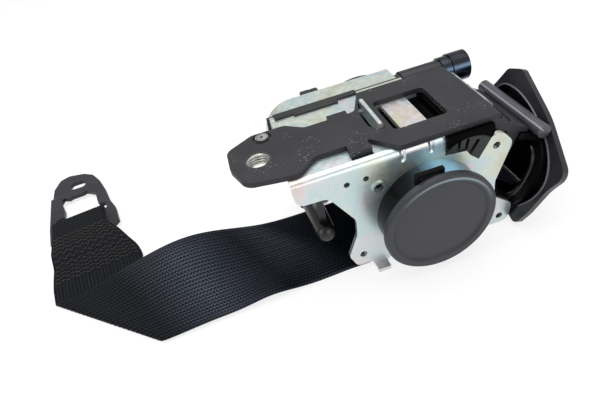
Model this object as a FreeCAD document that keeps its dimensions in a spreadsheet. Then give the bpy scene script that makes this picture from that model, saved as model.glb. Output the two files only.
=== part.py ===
"""Seat belt retractor with pretensioner, outlet guide, webbing and anchor plate.

Millimetres, +Z up. The origin is the centre of the threaded mounting hole, on the bracket's top face.
The webbing spool turns about a line parallel to Y. The near side is -Y, the far side is +Y.
"""
import FreeCAD, Part
import math
import os
import Sketcher
from FreeCAD import Placement, Rotation, Vector

# Driving dimensions, one cell each.
SIZES = {
    "bracket_gauge": 2.4,
    "bracket_end": 96.0,
    "bracket_half": 23.3,
    "bracket_mid_y": 3.3,
    "bracket_corner": 4.0,
    "thread_radius": 4.93,
    "collar_wall": 0.9,
    "nut_flats": 15.0,
    "nut_height": 3.4,
    "rivet_x": 5.0,
    "rivet_y": 14.5,
    "rivet_head": 2.8,
    "rivet_shank": 1.6,
    "frame_gauge": 2.0,
    "side_room": 3.0,
    "near_face": -17.7,
    "frame_left": 8.0,
    "frame_right": 77.4,
    "bend_radius": 3.0,
    "flange_hole": 18.0,
    "tab_x": 50.8,
    "tab_gauge": 1.8,
    "tab_rise": 2.0,
    "foot_reach": 4.0,
    "spool_x": 64.0,
    "spool_drop": 35.5,
    "floor_drop": 64.5,
    "belt_width": 47.0,
    "belt_gauge": 1.2,
    "roll_radius": 20.0,
    "drum_radius": 11.0,
    "spool_flange": 21.5,
    "spool_wall": 1.2,
    "stub_radius": 7.0,
    "bar_radius": 4.0,
    "running": 0.3,
    "cap_radius": 23.1,
    "cap_rim": 24.9,
    "cap_depth": 13.9,
    "cap_wall": 1.6,
    "dish_radius": 21.5,
    "spring_width": 8.0,
    "tray_wall": 2.2,
    "pan_width": 12.0,
    "pan_gauge": 1.5,
    "cover_radius": 25.5,
    "cover_depth": 12.0,
    "cover_wall": 1.6,
    "tube_radius": 6.0,
    "tube_wall": 1.0,
    "tube_drop": 11.6,
    "tube_end": 107.4,
    "generator_radius": 7.5,
    "generator_length": 9.0,
    "guide_x": 106.4,
    "guide_lean": 21.85,
    "guide_gauge": 3.0,
    "guide_bar": 3.1,
    "funnel_depth": 12.0,
    "guard_radius": 4.6,
    "anchor_gauge": 2.5,
    "anchor_half": 20.0,
    "ball_radius": 3.0,
    "tooth_count": 12,
    "wheel_radius": 22.0,
    "pocket_count": 16,
    "shot_radius": 3.9,
}

DOC = FreeCAD.newDocument("seat_belt")
SHEET = DOC.addObject("Spreadsheet::Sheet", "sizes")
for row, (alias, size) in enumerate(SIZES.items(), 1):
    SHEET.set(f"A{row}", alias)
    SHEET.set(f"B{row}", str(size))
    SHEET.setAlias(f"B{row}", alias)
DOC.recompute()


def cell(alias):
    """The number that a cell holds."""
    return float(getattr(SHEET, alias))


# Derived places, as expressions on the sheet.
PLATE_TOP = "(-sizes.bracket_gauge)"
PLATE_UNDER = "(-sizes.bracket_gauge - sizes.frame_gauge)"
NEAR_IN = "sizes.near_face"
NEAR_OUT = "(sizes.near_face - sizes.frame_gauge)"
FAR_IN = "(sizes.near_face + (sizes.belt_width + sizes.side_room))"
FAR_OUT = "(sizes.near_face + (sizes.belt_width + sizes.side_room) + sizes.frame_gauge)"
AXIS_Z = "(-sizes.spool_drop)"
RATCHET = "(sizes.cover_radius*0.53)"
FLOOR = "(-sizes.floor_drop)"
BELT_MID = "(sizes.near_face + (sizes.belt_width + sizes.side_room)/2)"
TRAY_OUT = f"({FAR_OUT} + sizes.tray_wall)"
PAN_OUT = f"({TRAY_OUT} + sizes.pan_width)"
TUBE_Y = f"({TRAY_OUT} + sizes.pan_width/2 - 0.6)"

# The same places as numbers, for the pieces whose shapes are worked out here.
gauge = cell("frame_gauge")
near_in = cell("near_face")
near_out = near_in - gauge
far_in = near_in + cell("belt_width") + cell("side_room")
far_out = far_in + gauge
tray_out = far_out + cell("tray_wall")
pan_out = tray_out + cell("pan_width")
belt_mid = (near_in + far_in) / 2
plate_under = -cell("bracket_gauge") - gauge
axis_x = cell("spool_x")
axis_z = -cell("spool_drop")
floor = -cell("floor_drop")
belt_gauge = cell("belt_gauge")
belt_width = cell("belt_width")
running = cell("running")

PIECES = []


def make_body(label, place=None):
    """An empty body whose Label names its file."""
    body = DOC.addObject("PartDesign::Body", label)
    body.Label = label
    for axis, text in zip("xyz", place or ()):
        body.setExpression(f"Placement.Base.{axis}", text)
    PIECES.append(body)
    return body


def sketch_on(body, role, height="0"):
    """A sketch on one of the body's origin planes, moved along the plane's normal."""
    sketch = body.newObject("Sketcher::SketchObject", f"{body.Name}_sketch")
    plane = next(item for item in body.Origin.OriginFeatures if item.Role == role)
    sketch.AttachmentSupport = [(plane, "")]
    sketch.MapMode = "FlatFace"
    sketch.setExpression("AttachmentOffset.Base.z", height)
    return sketch


def side_sketch(body, y_place):
    """A sketch of X and Z in the upright plane at y_place; its normal points to -Y."""
    return sketch_on(body, "XZ_Plane", f"-({y_place})")


def bind(sketch, kind, values, number, text):
    """Add one dimension and tie it to an expression."""
    index = sketch.addConstraint(Sketcher.Constraint(kind, *values, number))
    sketch.setExpression(f"Constraints[{index}]", text)


def polygon(sketch, points):
    """A closed outline of straight lines, each corner tied to the sheet."""
    first = sketch.GeometryCount
    count = len(points)
    start = [Vector(30 * math.cos(2 * math.pi * i / count), 30 * math.sin(2 * math.pi * i / count), 0)
             for i in range(count)]
    for i in range(count):
        sketch.addGeometry(Part.LineSegment(start[i], start[(i + 1) % count]), False)
    for i in range(count):
        sketch.addConstraint(
            Sketcher.Constraint("Coincident", first + i, 2, first + (i + 1) % count, 1))
    for i, (across, up) in enumerate(points):
        bind(sketch, "DistanceX", (-1, 1, first + i, 1), start[i].x, str(across))
        bind(sketch, "DistanceY", (-1, 1, first + i, 1), start[i].y, str(up))
    return first


def rectangle(sketch, left, low, right, high):
    """A four-cornered outline."""
    return polygon(sketch, [(left, low), (right, low), (right, high), (left, high)])


def circle(sketch, across, up, radius):
    """A circle whose centre and radius are tied to the sheet."""
    index = sketch.addGeometry(Part.Circle(Vector(1, 1, 0), Vector(0, 0, 1), 3), False)
    bind(sketch, "DistanceX", (-1, 1, index, 3), 1, str(across))
    bind(sketch, "DistanceY", (-1, 1, index, 3), 1, str(up))
    bind(sketch, "Radius", (index,), 3, str(radius))
    return index


def grow(body, kind, sketch, length, reverse=False, both=False):
    """A pad or a pocket of the sketch, checked to have changed the solid."""
    before = body.Shape.Volume if body.Tip else 0.0
    feature = body.newObject(f"PartDesign::{kind}", f"{body.Name}_{kind}")
    feature.Profile = sketch
    feature.Reversed = reverse
    feature.Midplane = both
    feature.setExpression("Length", str(length))
    sketch.Visibility = False
    DOC.recompute()
    change = body.Shape.Volume - before
    if (kind == "Pad") != (change > 0) or abs(change) < 1e-6:
        raise RuntimeError(f"{body.Label}: a {kind} changed nothing")
    return feature


def pad(body, sketch, length, reverse=False, both=False):
    return grow(body, "Pad", sketch, length, reverse, both)


def pocket(body, sketch, length, reverse=False, both=False):
    return grow(body, "Pocket", sketch, length, reverse, both)


def turn(body, points, kind="Revolution"):
    """A solid turned about the body's own Y axis from a profile of radius and Y."""
    sketch = sketch_on(body, "XY_Plane")
    polygon(sketch, points)
    feature = body.newObject(f"PartDesign::{kind}", f"{body.Name}_{kind}")
    feature.Profile = sketch
    feature.ReferenceAxis = (sketch, ["V_Axis"])
    feature.Angle = 360
    DOC.recompute()
    return feature


def corner_edges(shape, spot, direction, reach=1e9):
    """Names of the straight edges along direction that pass through spot."""
    names = []
    for number, edge in enumerate(shape.Edges, 1):
        if not isinstance(edge.Curve, Part.Line) or edge.Length > reach:
            continue
        along = edge.Curve.Direction
        if abs(abs(along.dot(direction)) - 1) > 1e-6:
            continue
        offset = edge.CenterOfMass - spot
        if (offset - direction * offset.dot(direction)).Length < 1e-3:
            names.append(f"Edge{number}")
    return names


def round_corners(body, sketch, first, radii, direction, reach=1e9):
    """Fillet the edges that rise from the sketch's corners, one radius at a time."""
    lines = sketch.Geometry
    place = sketch.getGlobalPlacement()
    own = body.Placement.inverse()
    by_radius = {}
    for corner, text in radii.items():
        spot = own.multVec(place.multVec(lines[first + corner].StartPoint))
        by_radius.setdefault(text, []).append(spot)
    for text, spots in by_radius.items():
        base = body.Tip
        shape = base.Shape.copy()
        names = []
        for spot in spots:
            names += corner_edges(shape, spot, direction, reach)
        fillet = body.newObject("PartDesign::Fillet", f"{body.Name}_round")
        fillet.Base = (base, sorted(set(names)))
        fillet.setExpression("Radius", text)
        DOC.recompute()
        if not names or "Invalid" in fillet.State:
            raise RuntimeError(f"{body.Label}: no fillet of {text}")


def free_piece(label, shape):
    """A sub-part whose shape is worked out here from the sheet's numbers."""
    piece = DOC.addObject("Part::Feature", label)
    piece.Label = label
    piece.Shape = shape
    PIECES.append(piece)
    return piece


def rod(start, end, radius):
    """A plain cylinder from one point to another."""
    return Part.makeCylinder(radius, (end - start).Length, start, end - start)


def spool_ring(outer, inner, low_y, high_y):
    """A ring about the spool axis."""
    base = Vector(axis_x, low_y, axis_z)
    ring = Part.makeCylinder(outer, high_y - low_y, base, Vector(0, 1, 0))
    if inner:
        ring = ring.cut(Part.makeCylinder(inner, high_y - low_y, base, Vector(0, 1, 0)))
    return ring


ALONG_X = Vector(1, 0, 0)
ALONG_Y = Vector(0, 1, 0)
ALONG_Z = Vector(0, 0, 1)


def make_frame():
    """The folded steel frame: a back plate on top and two flanges that carry the spool."""
    body = make_body("frame")
    section = sketch_on(body, "YZ_Plane", "sizes.rivet_x - 5")
    leg = f"({PLATE_TOP} - sizes.bend_radius - 3)"
    first = polygon(section, [
        (NEAR_OUT, PLATE_TOP), (FAR_OUT, PLATE_TOP), (FAR_OUT, leg), (FAR_IN, leg),
        (FAR_IN, PLATE_UNDER), (NEAR_IN, PLATE_UNDER), (NEAR_IN, leg), (NEAR_OUT, leg)])
    pad(body, section, "sizes.frame_right - sizes.rivet_x + 5")
    round_corners(body, section, first, {0: "sizes.bend_radius", 1: "sizes.bend_radius",
                                         4: "sizes.bend_radius - sizes.frame_gauge + 0.2",
                                         5: "sizes.bend_radius - sizes.frame_gauge + 0.2"}, ALONG_X)
    trim_plate(body)
    near_flange(body)
    far_flange(body)
    plate_details(body)
    return body


def trim_plate(body):
    """The plate's left end, with a tongue for the rivet, and the short near bend."""
    trim = sketch_on(body, "XY_Plane", "5")
    rectangle(trim, "sizes.rivet_x - 20", "sizes.near_face - 20", "sizes.frame_left",
              "sizes.rivet_y - 5.2")
    rectangle(trim, "sizes.rivet_x - 20", "sizes.rivet_y + 5.2", "sizes.frame_left + 4",
              "sizes.near_face + (sizes.belt_width + sizes.side_room) + 20")
    rectangle(trim, "sizes.frame_right - 5", "sizes.near_face - 20", "sizes.frame_right + 20",
              f"{NEAR_IN} + 1.2")
    pocket(body, trim, "40")


def near_flange(body):
    """The near side: nose, arch, leg with a turned-out foot, and two ears on the right."""
    edge = f"({PLATE_TOP} - sizes.bend_radius - 2)"
    side = side_sketch(body, NEAR_IN)
    first = polygon(side, [
        ("sizes.frame_left", edge), ("sizes.frame_left + 0.6", "-13.8"), ("21.5", "-14.4"),
        ("31.6", "-31"), ("31.2", "-40"), ("26.2", "-52"), ("29.5", "-59.8"), ("36.4", "-59.8"),
        ("38", f"{FLOOR} + 1.5"), ("44", f"{FLOOR} + 1.5"), ("50", "-55.5"),
        ("sizes.spool_x + 6", "-60.2"), ("82", "-63.5"), ("106.5", "-63.7"), ("107.6", "-53.5"),
        ("97.6", "-45.5"), ("97.2", "-36"), ("103.8", "-16.5"), ("96.8", "-8.2"), ("88.5", "-14.4"),
        ("sizes.frame_right - 5", "-12.4"), ("sizes.frame_right - 5", edge)])
    pad(body, side, "sizes.frame_gauge")
    round_corners(body, side, first, {1: "4", 2: "5", 3: "6", 4: "6", 5: "4", 6: "3", 7: "2.5",
                                      10: "5", 13: "4", 14: "4.5", 15: "4", 16: "5", 17: "5",
                                      18: "5", 19: "2.5"}, ALONG_Y)
    foot = side_sketch(body, NEAR_IN)
    rectangle(foot, "38", FLOOR, "44", f"{FLOOR} + 2")
    pad(body, foot, "sizes.frame_gauge + sizes.foot_reach")
    cuts = side_sketch(body, f"{NEAR_OUT} - 1")
    circle(cuts, "sizes.spool_x", AXIS_Z, "sizes.flange_hole")
    circle(cuts, "29.8", "-10.7", "1.3")
    circle(cuts, "38", "-10.7", "1.3")
    circle(cuts, "42.9", "-17.1", "2.2")
    circle(cuts, "32.9", "-53.3", "1.7")
    circle(cuts, "95.9", "-15.9", "1.7")
    circle(cuts, "101.5", "-59.2", "1.7")
    pocket(body, cuts, "sizes.frame_gauge + 2")
    collar = side_sketch(body, NEAR_OUT)
    circle(collar, "42.9", "-17.1", "3")
    circle(collar, "42.9", "-17.1", "2.2")
    pad(body, collar, "0.8")


def far_flange(body):
    """The far side: a plain cheek with a toothed hole for the lock and two feet."""
    edge = f"({PLATE_TOP} - sizes.bend_radius - 2)"
    side = side_sketch(body, FAR_IN)
    first = polygon(side, [
        ("sizes.frame_left + 4", edge), ("sizes.frame_left + 4", "-24"), ("18", FLOOR), ("31", FLOOR),
        ("36", "-56"), ("sizes.spool_x", "-60"), ("92", "-56"), ("92", "-16"),
        ("sizes.frame_right", "-11"), ("sizes.frame_right", edge)])
    pad(body, side, "sizes.frame_gauge", reverse=True)
    round_corners(body, side, first, {1: "5", 2: "3", 3: "3", 4: "5", 6: "6", 7: "6"}, ALONG_Y)
    bore = side_sketch(body, f"{FAR_IN} - 1")
    circle(bore, "sizes.spool_x", AXIS_Z, "sizes.flange_hole")
    pocket(body, bore, "sizes.frame_gauge + 2")
    lock_teeth(body)


def lock_teeth(body):
    """Saw teeth round the far hole, which the pawl catches."""
    notch = side_sketch(body, f"{FAR_IN} - 1")
    rise = "sizes.spool_drop"
    polygon(notch, [("sizes.spool_x - 2.6", f"-{rise} + sizes.flange_hole - 1"),
                    ("sizes.spool_x + 2.6", f"-{rise} + sizes.flange_hole - 1"),
                    ("sizes.spool_x + 2.6", f"-{rise} + sizes.flange_hole + 2.4")])
    cut = pocket(body, notch, "sizes.frame_gauge + 2")
    spin = body.newObject("PartDesign::PolarPattern", "frame_teeth")
    spin.Originals = [cut]
    centre = side_sketch(body, FAR_OUT)
    centre.addGeometry(Part.LineSegment(Vector(0, 0, 0), Vector(1, 1, 0)), True)
    centre.setExpression("AttachmentOffset.Base.x", "sizes.spool_x")
    centre.setExpression("AttachmentOffset.Base.y", AXIS_Z)
    spin.Axis = (centre, ["N_Axis"])
    spin.Angle = 360
    spin.setExpression("Occurrences", "sizes.tooth_count")
    body.Tip = spin
    DOC.recompute()


def plate_details(body):
    """The hook tab that locks the bracket, the hole it leaves, and the lug slots."""
    holes = sketch_on(body, "XY_Plane", "5")
    rectangle(holes, "sizes.tab_x + sizes.tab_gauge", "-9", "sizes.tab_x + 8.8", "15")
    rectangle(holes, "sizes.tab_x - 2.6", "-2", "sizes.tab_x", "14.4")
    rectangle(holes, "sizes.frame_right - 6", "-9.6", "sizes.frame_right + 6", "15.6")
    rectangle(holes, "34.4", "-16.4", "43.6", "-12.6")
    circle(holes, "sizes.rivet_x", "sizes.rivet_y", "sizes.rivet_shank")
    pocket(body, holes, "20")
    tab = side_sketch(body, "17.4")
    first = rectangle(tab, "sizes.tab_x", PLATE_UNDER, "sizes.tab_x + sizes.tab_gauge", "sizes.tab_rise")
    pad(body, tab, "22.4")
    round_corners(body, tab, first, {2: "0.5", 3: "0.5"}, ALONG_Y)


def make_bracket():
    """The black mounting bracket: a long plate with windows, lugs and a turned-down right end."""
    body = make_body("mounting_bracket")
    top = sketch_on(body, "XY_Plane")
    near = "(sizes.bracket_mid_y - sizes.bracket_half)"
    far = "(sizes.bracket_mid_y + sizes.bracket_half)"
    first = polygon(top, [
        ("-11.8", "-1"), ("-7.9", "-13"), ("12.6", "-17"), ("21.5", "-9.4"), ("44.2", "-9.4"),
        ("53", near), ("sizes.bracket_end", near), ("sizes.bracket_end", far), ("53", far),
        ("46.6", "12.6"), ("23.5", "12.6"), ("16", "18.8"), ("1", "18.8"), ("-11.2", "12")])
    pad(body, top, "sizes.bracket_gauge", reverse=True)
    small = "sizes.bracket_corner"
    round_corners(body, top, first, {0: "6", 1: "6", 2: small, 3: small, 4: small, 5: "1.5", 8: "2",
                                     9: "3", 10: small, 11: small, 12: small, 13: "5"}, ALONG_Z)
    cuts = sketch_on(body, "XY_Plane")
    circle(cuts, "0", "0", "sizes.thread_radius + sizes.collar_wall")
    first = rectangle(cuts, "55.6", "-9", "79.6", "15.2")
    polygon(cuts, [("sizes.tab_x + sizes.tab_gauge + 0.3", "17.7"), ("50", "17.7"), ("47.6", "9"),
                   ("47.6", "-1"), ("50", "-5.4"), ("sizes.tab_x + sizes.tab_gauge + 0.3", "-5.4")])
    pocket(body, cuts, "sizes.bracket_gauge")
    round_corners(body, cuts, first, {0: "2", 1: "2", 2: "2", 3: "2"}, ALONG_Z)
    seat = sketch_on(body, "XY_Plane")
    circle(seat, "sizes.rivet_x", "sizes.rivet_y", "sizes.rivet_head + 1.4")
    pocket(body, seat, "0.8")
    shank = sketch_on(body, "XY_Plane")
    circle(shank, "sizes.rivet_x", "sizes.rivet_y", "sizes.rivet_shank")
    pocket(body, shank, "sizes.bracket_gauge")
    lugs = sketch_on(body, "XY_Plane")
    rectangle(lugs, "34.6", "-12.8", "43.4", "-9.2")
    rectangle(lugs, "34.6", "12.4", "43.4", "15.6")
    pad(body, lugs, "sizes.bracket_gauge", reverse=True)
    turned = sketch_on(body, "XY_Plane")
    rectangle(turned, "34.6", "-15.4", "43.4", "-12.7")
    pad(body, turned, "sizes.bracket_gauge + sizes.frame_gauge", reverse=True)
    lip = side_sketch(body, "19")
    first = polygon(lip, [
        ("sizes.bracket_end - 0.4", "0"), ("sizes.bracket_end + 1.4", "0"), ("sizes.bracket_end + 5", "-6.4"),
        ("sizes.bracket_end + 2.4", "-7.9"), ("sizes.bracket_end - 0.4", PLATE_TOP)])
    pad(body, lip, "30")
    round_corners(body, lip, first, {1: "2.6"}, ALONG_Y)
    return body


def make_nut():
    """The weld nut under the bracket, with the mounting thread's bore."""
    body = make_body("weld_nut")
    face = sketch_on(body, "XY_Plane", PLATE_TOP)
    half = "sizes.nut_flats/2"
    point = "sizes.nut_flats/sqrt(3)"
    polygon(face, [(half, f"-{point}/2"), (half, f"{point}/2"), ("0", point), (f"-{half}", f"{point}/2"),
                   (f"-{half}", f"-{point}/2"), ("0", f"-{point}")])
    circle(face, "0", "0", "sizes.thread_radius")
    pad(body, face, "sizes.nut_height", reverse=True)
    collar = sketch_on(body, "XY_Plane", PLATE_TOP)
    circle(collar, "0", "0", "sizes.thread_radius + sizes.collar_wall")
    circle(collar, "0", "0", "sizes.thread_radius")
    pad(body, collar, "sizes.bracket_gauge")
    return body


def make_rivet():
    """The bright rivet at the bracket's far left corner, closed under the frame's tongue."""
    body = make_body("corner_rivet", ("sizes.rivet_x", "sizes.rivet_y", "0"))
    for low, high, radius in (("-0.8", "0.6", "sizes.rivet_head"),
                              (PLATE_UNDER, "-0.8", "sizes.rivet_shank"),
                              (f"{PLATE_UNDER} - 1.2", PLATE_UNDER, "sizes.rivet_head")):
        ring = sketch_on(body, "XY_Plane", low)
        circle(ring, "0", "0", radius)
        pad(body, ring, f"({high}) - ({low})")
    return body


def make_spring_cover():
    """The round black cap over the return spring: rim, dished face and a clip loop."""
    body = make_body("spring_cover", ("sizes.spool_x", NEAR_OUT, AXIS_Z))
    front = "(-sizes.cap_depth)"
    turn(body, [
        ("0", f"{front} + 0.8"), ("sizes.dish_radius - 0.8", f"{front} + 0.8"),
        ("sizes.dish_radius", front), ("sizes.cap_rim - 0.6", front),
        ("sizes.cap_rim", f"{front} + 0.6"), ("sizes.cap_rim", f"{front} + 3"),
        ("sizes.cap_radius", f"{front} + 3.4"), ("sizes.cap_radius", "0"),
        ("sizes.cap_radius - sizes.cap_wall", "0"),
        ("sizes.cap_radius - sizes.cap_wall", f"{front} + 2.6"), ("0", f"{front} + 2.6")])
    loop = side_sketch(body, f"{front} + 5.4")
    rectangle(loop, "-9.6", "sizes.cap_radius - 1.4", "2.4", "sizes.cap_radius + 3.6")
    rectangle(loop, "-8", "sizes.cap_radius + 0.4", "0.8", "sizes.cap_radius + 2.2")
    pad(body, loop, "2")
    return body


def make_spring_base():
    """The black base plate that closes the spring's chamber against the near flange."""
    body = make_body("spring_base", ("sizes.spool_x", NEAR_OUT, AXIS_Z))
    inside = "sizes.cap_radius - sizes.cap_wall"
    turn(body, [("sizes.stub_radius + 0.6", "-1.5"), (inside, "-1.5"), (inside, "0"),
                ("sizes.flange_hole", "0"), ("sizes.flange_hole", "sizes.frame_gauge"),
                ("sizes.stub_radius + 0.6", "sizes.frame_gauge")])
    return body


def make_spring():
    """The flat coiled spring that winds the webbing in, drawn from its arbor to its cap."""
    half_turns = 14
    strip = 0.35
    inner = cell("stub_radius") - 1.6
    outer = cell("cap_radius") - cell("cap_wall") - 0.6
    growth = (outer - inner) / half_turns
    level = near_out - 2
    edges = []
    ends = []
    for offset in (-strip, strip):
        for i in range(half_turns):
            centre = Vector(axis_x + growth * (i % 2), level, axis_z)
            radius = inner + growth * i + offset
            spots = [centre + Vector(radius * math.cos(turned), 0, radius * math.sin(turned))
                     for turned in (math.pi * i, math.pi * (i + 0.5), math.pi * (i + 1))]
            edges.append(Part.Arc(*spots).toShape())
            if i == 0:
                ends.append(spots[0])
        ends.append(spots[2])
    edges.append(Part.LineSegment(ends[0], ends[2]).toShape())
    edges.append(Part.LineSegment(ends[1], ends[3]).toShape())
    face = Part.Face(Part.Wire(Part.sortEdges(edges)[0]))
    free_piece("return_spring", face.extrude(Vector(0, -cell("spring_width"), 0)))


def make_arbor():
    """The plastic arbor on the spool's near end, which holds the spring's inner end."""
    body = make_body("spring_arbor", ("sizes.spool_x", NEAR_OUT, AXIS_Z))
    turn(body, [("sizes.bar_radius + 0.02", "-sizes.cap_depth + 3.2"), ("sizes.stub_radius - 2.4", "-sizes.cap_depth + 3.2"),
                ("sizes.stub_radius - 2.4", "-1.8"), ("sizes.stub_radius - 0.4", "-1.8"),
                ("sizes.stub_radius - 0.4", "sizes.frame_gauge + 0.2"),
                ("sizes.bar_radius + 0.02", "sizes.frame_gauge + 0.2")])
    return body


def make_spool():
    """The die-cast spool: a drum between two flanges, bored for the torsion bar."""
    body = make_body("spool", ("sizes.spool_x", BELT_MID, AXIS_Z))
    half = "(sizes.belt_width + sizes.side_room)/2"
    rim = f"({half} - 0.3)"
    wall = f"({half} - 0.3 - sizes.spool_wall)"
    bore = "sizes.bar_radius + 0.02"
    feature = turn(body, [
        (bore, f"-{rim}"), ("sizes.spool_flange", f"-{rim}"), ("sizes.spool_flange", f"-{wall}"),
        ("sizes.drum_radius", f"-{wall}"), ("sizes.drum_radius", wall), ("sizes.spool_flange", wall),
        ("sizes.spool_flange", rim), (bore, rim)])
    return body


def make_torsion_bar():
    """The twisting steel bar through the spool, which limits the load on the wearer."""
    body = make_body("torsion_bar", ("sizes.spool_x", BELT_MID, AXIS_Z))
    half = "(sizes.belt_width + sizes.side_room)/2"
    near = f"(-{half} - sizes.frame_gauge - sizes.cap_depth + 3.2)"
    far = f"({half} + sizes.frame_gauge + sizes.tray_wall + sizes.pan_width + 6)"
    turn(body, [("0", near), ("sizes.bar_radius", near), ("sizes.bar_radius", f"-{half} + 8"),
                ("sizes.bar_radius - 0.9", f"-{half} + 10"), ("sizes.bar_radius - 0.9", f"{half} - 10"),
                ("sizes.bar_radius", f"{half} - 8"), ("sizes.bar_radius", far), ("0", far)])
    return body


def make_roll():
    """The webbing wound on the spool."""
    body = make_body("webbing_roll", ("sizes.spool_x", BELT_MID, AXIS_Z))
    half = "sizes.belt_width/2"
    turn(body, [("sizes.drum_radius + 0.01", f"-{half}"), ("sizes.roll_radius", f"-{half}"),
                ("sizes.roll_radius", half), ("sizes.drum_radius + 0.01", half)])
    return body


def make_locking_head():
    """The head on the spool's far end, inside the toothed hole, cut away for the pawl."""
    body = make_body("locking_head", ("sizes.spool_x", FAR_IN, AXIS_Z))
    turn(body, [("sizes.bar_radius + 0.02", "-0.2"), ("sizes.flange_hole - 1.4", "-0.2"),
                ("sizes.flange_hole - 1.4", "sizes.frame_gauge + 1.2"),
                ("sizes.bar_radius + 0.02", "sizes.frame_gauge + 1.2")])
    recess = side_sketch(body, "0.8")
    rectangle(recess, "-15", "7.2", "6.2", "20")
    pocket(body, recess, "sizes.frame_gauge + 0.6")
    pin = side_sketch(body, "0.6")
    circle(pin, "-8.4", "10.4", "1.6")
    pad(body, pin, "sizes.frame_gauge + 0.4", reverse=True)
    return body


def make_pawl():
    """The locking pawl, which swings out of the head into the frame's teeth."""
    body = make_body("lock_pawl", ("sizes.spool_x", FAR_IN, AXIS_Z))
    shape = side_sketch(body, "0.9")
    first = polygon(shape, [("-11.2", "8.4"), ("-5.6", "7.8"), ("3.4", "7.8"), ("4", "12"),
                            ("1.6", "15.2"), ("-2.5", "12.8"), ("-8", "13.2"), ("-11.2", "12")])
    circle(shape, "-8.4", "10.4", "1.65")
    pad(body, shape, "sizes.frame_gauge", reverse=True)
    round_corners(body, shape, first, {0: "1.5", 7: "1", 1: "1"}, ALONG_Y)
    return body


def make_tray():
    """The black moulded base of the far side: a cheek with a top flange over the frame's bend."""
    body = make_body("mechanism_tray")
    cheek = side_sketch(body, FAR_OUT)
    first = polygon(cheek, [
        ("sizes.frame_left + 3", PLATE_UNDER), ("sizes.frame_left + 2", "-22"), ("17", FLOOR), ("33", FLOOR),
        ("40", "-57"), ("sizes.spool_x", "-66 + 4"), ("86", "-58"), ("93", "-44"), ("93", "-25"),
        ("79", "-22"), ("78", PLATE_UNDER)])
    circle(cheek, "sizes.spool_x", AXIS_Z, "sizes.flange_hole + 2")
    pad(body, cheek, "sizes.tray_wall", reverse=True)
    round_corners(body, cheek, first, {1: "8", 2: "3", 3: "3", 7: "8", 8: "3"}, ALONG_Y)
    for left, right, reach in (("sizes.frame_left + 6", "23", "6"), ("23", "44", "7.4"), ("44", "54", "5")):
        flange = sketch_on(body, "YZ_Plane", left)
        polygon(flange, [
            (f"{FAR_OUT} - {reach}", PLATE_TOP), (f"{FAR_OUT} - {reach}", f"{PLATE_TOP} + 0.9"),
            (f"{FAR_OUT} - 1.6", f"{PLATE_TOP} + 0.9"), (TRAY_OUT, f"{PLATE_TOP} - 1.8"), (TRAY_OUT, "-8"),
            (FAR_OUT, "-8"), (FAR_OUT, f"{PLATE_TOP} - sizes.bend_radius*0.57"),
            (f"{FAR_OUT} - sizes.bend_radius*0.57", PLATE_TOP)])
        pad(body, flange, f"({right}) - ({left})")
    return body


def pan_outline(shrink):
    """The pan's side outline: a flat top, a round left end and a sloping bottom."""
    inset = cell("pan_gauge") if shrink else 0.0
    top = -5.0 - inset
    left = 10.4 + inset
    right = 77.4
    low = -60.5 + inset
    bend = 15.4 - inset
    heel = 12.0 - inset
    slope_x = 34.0
    points = [Vector(left + bend, 0, top), Vector(right, 0, top), Vector(right, 0, low),
              Vector(slope_x, 0, low), Vector(left, 0, -34.0), Vector(left, 0, top - bend)]
    arc = Part.Arc(points[5], Vector(left + bend * (1 - math.sqrt(0.5)), 0, top - bend * (1 - math.sqrt(0.5))),
                   points[0])
    edges = [Part.LineSegment(a, b).toShape() for a, b in zip(points, points[1:])]
    return Part.Face(Part.Wire(edges + [arc.toShape()]))


def make_pan():
    """The zinc pressed housing that holds the pretensioner's drive, open on its inner side."""
    width = cell("pan_width")
    shell = pan_outline(False).extrude(Vector(0, width, 0))
    hollow = pan_outline(True)
    hollow.translate(Vector(0.0, -0.1, 0))
    hollow = hollow.extrude(Vector(0, width - cell("pan_gauge") + 0.1, 0))
    hollow = hollow.fuse(Part.makeBox(5, width - cell("pan_gauge") + 0.1, 16, Vector(74, -0.1, -23.5)))
    shell = shell.cut(hollow)
    shell.translate(Vector(0, tray_out, 0))
    shell = shell.cut(spool_ring(cell("stub_radius") + 1.4, 0, tray_out, pan_out + 1))
    free_piece("pretensioner_housing", shell.removeSplitter())


def make_mechanism_cover():
    """The round black cover over the locking mechanism, with a notched ear at the upper left."""
    body = make_body("mechanism_cover", ("sizes.spool_x", PAN_OUT, AXIS_Z))
    deep = "sizes.cover_depth"
    turn(body, [("sizes.cover_radius", "0"), ("sizes.cover_radius", f"{deep} - 1.5"),
                ("sizes.cover_radius - 1.5", deep), ("0", deep), ("0", f"{deep} - sizes.cover_wall"),
                ("sizes.cover_radius - sizes.cover_wall - 0.8", f"{deep} - sizes.cover_wall"),
                ("sizes.cover_radius - sizes.cover_wall", f"{deep} - sizes.cover_wall - 0.8"),
                ("sizes.cover_radius - sizes.cover_wall", "0")])
    rim = "sizes.cover_radius"
    ear = side_sketch(body, "0")
    polygon(ear, [(f"-{rim}*0.94", f"{rim}*0.2"), (f"-{rim}*0.3", f"{rim}*0.9"), ("-21.4", "27.4"), ("-21.4", "29.2"),
                  ("-25", "29.2"), ("-25.6", "27.6"), ("-27", "27.6"), ("-27.6", "28.6"), ("-31.4", "28.6"),
                  ("-31.4", "24")])
    pad(body, ear, "1.6", reverse=True)
    ring = side_sketch(body, "0")
    circle(ring, "0", "0", f"{rim} - 0.8")
    pocket(body, ring, "1.6")
    return body


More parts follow.
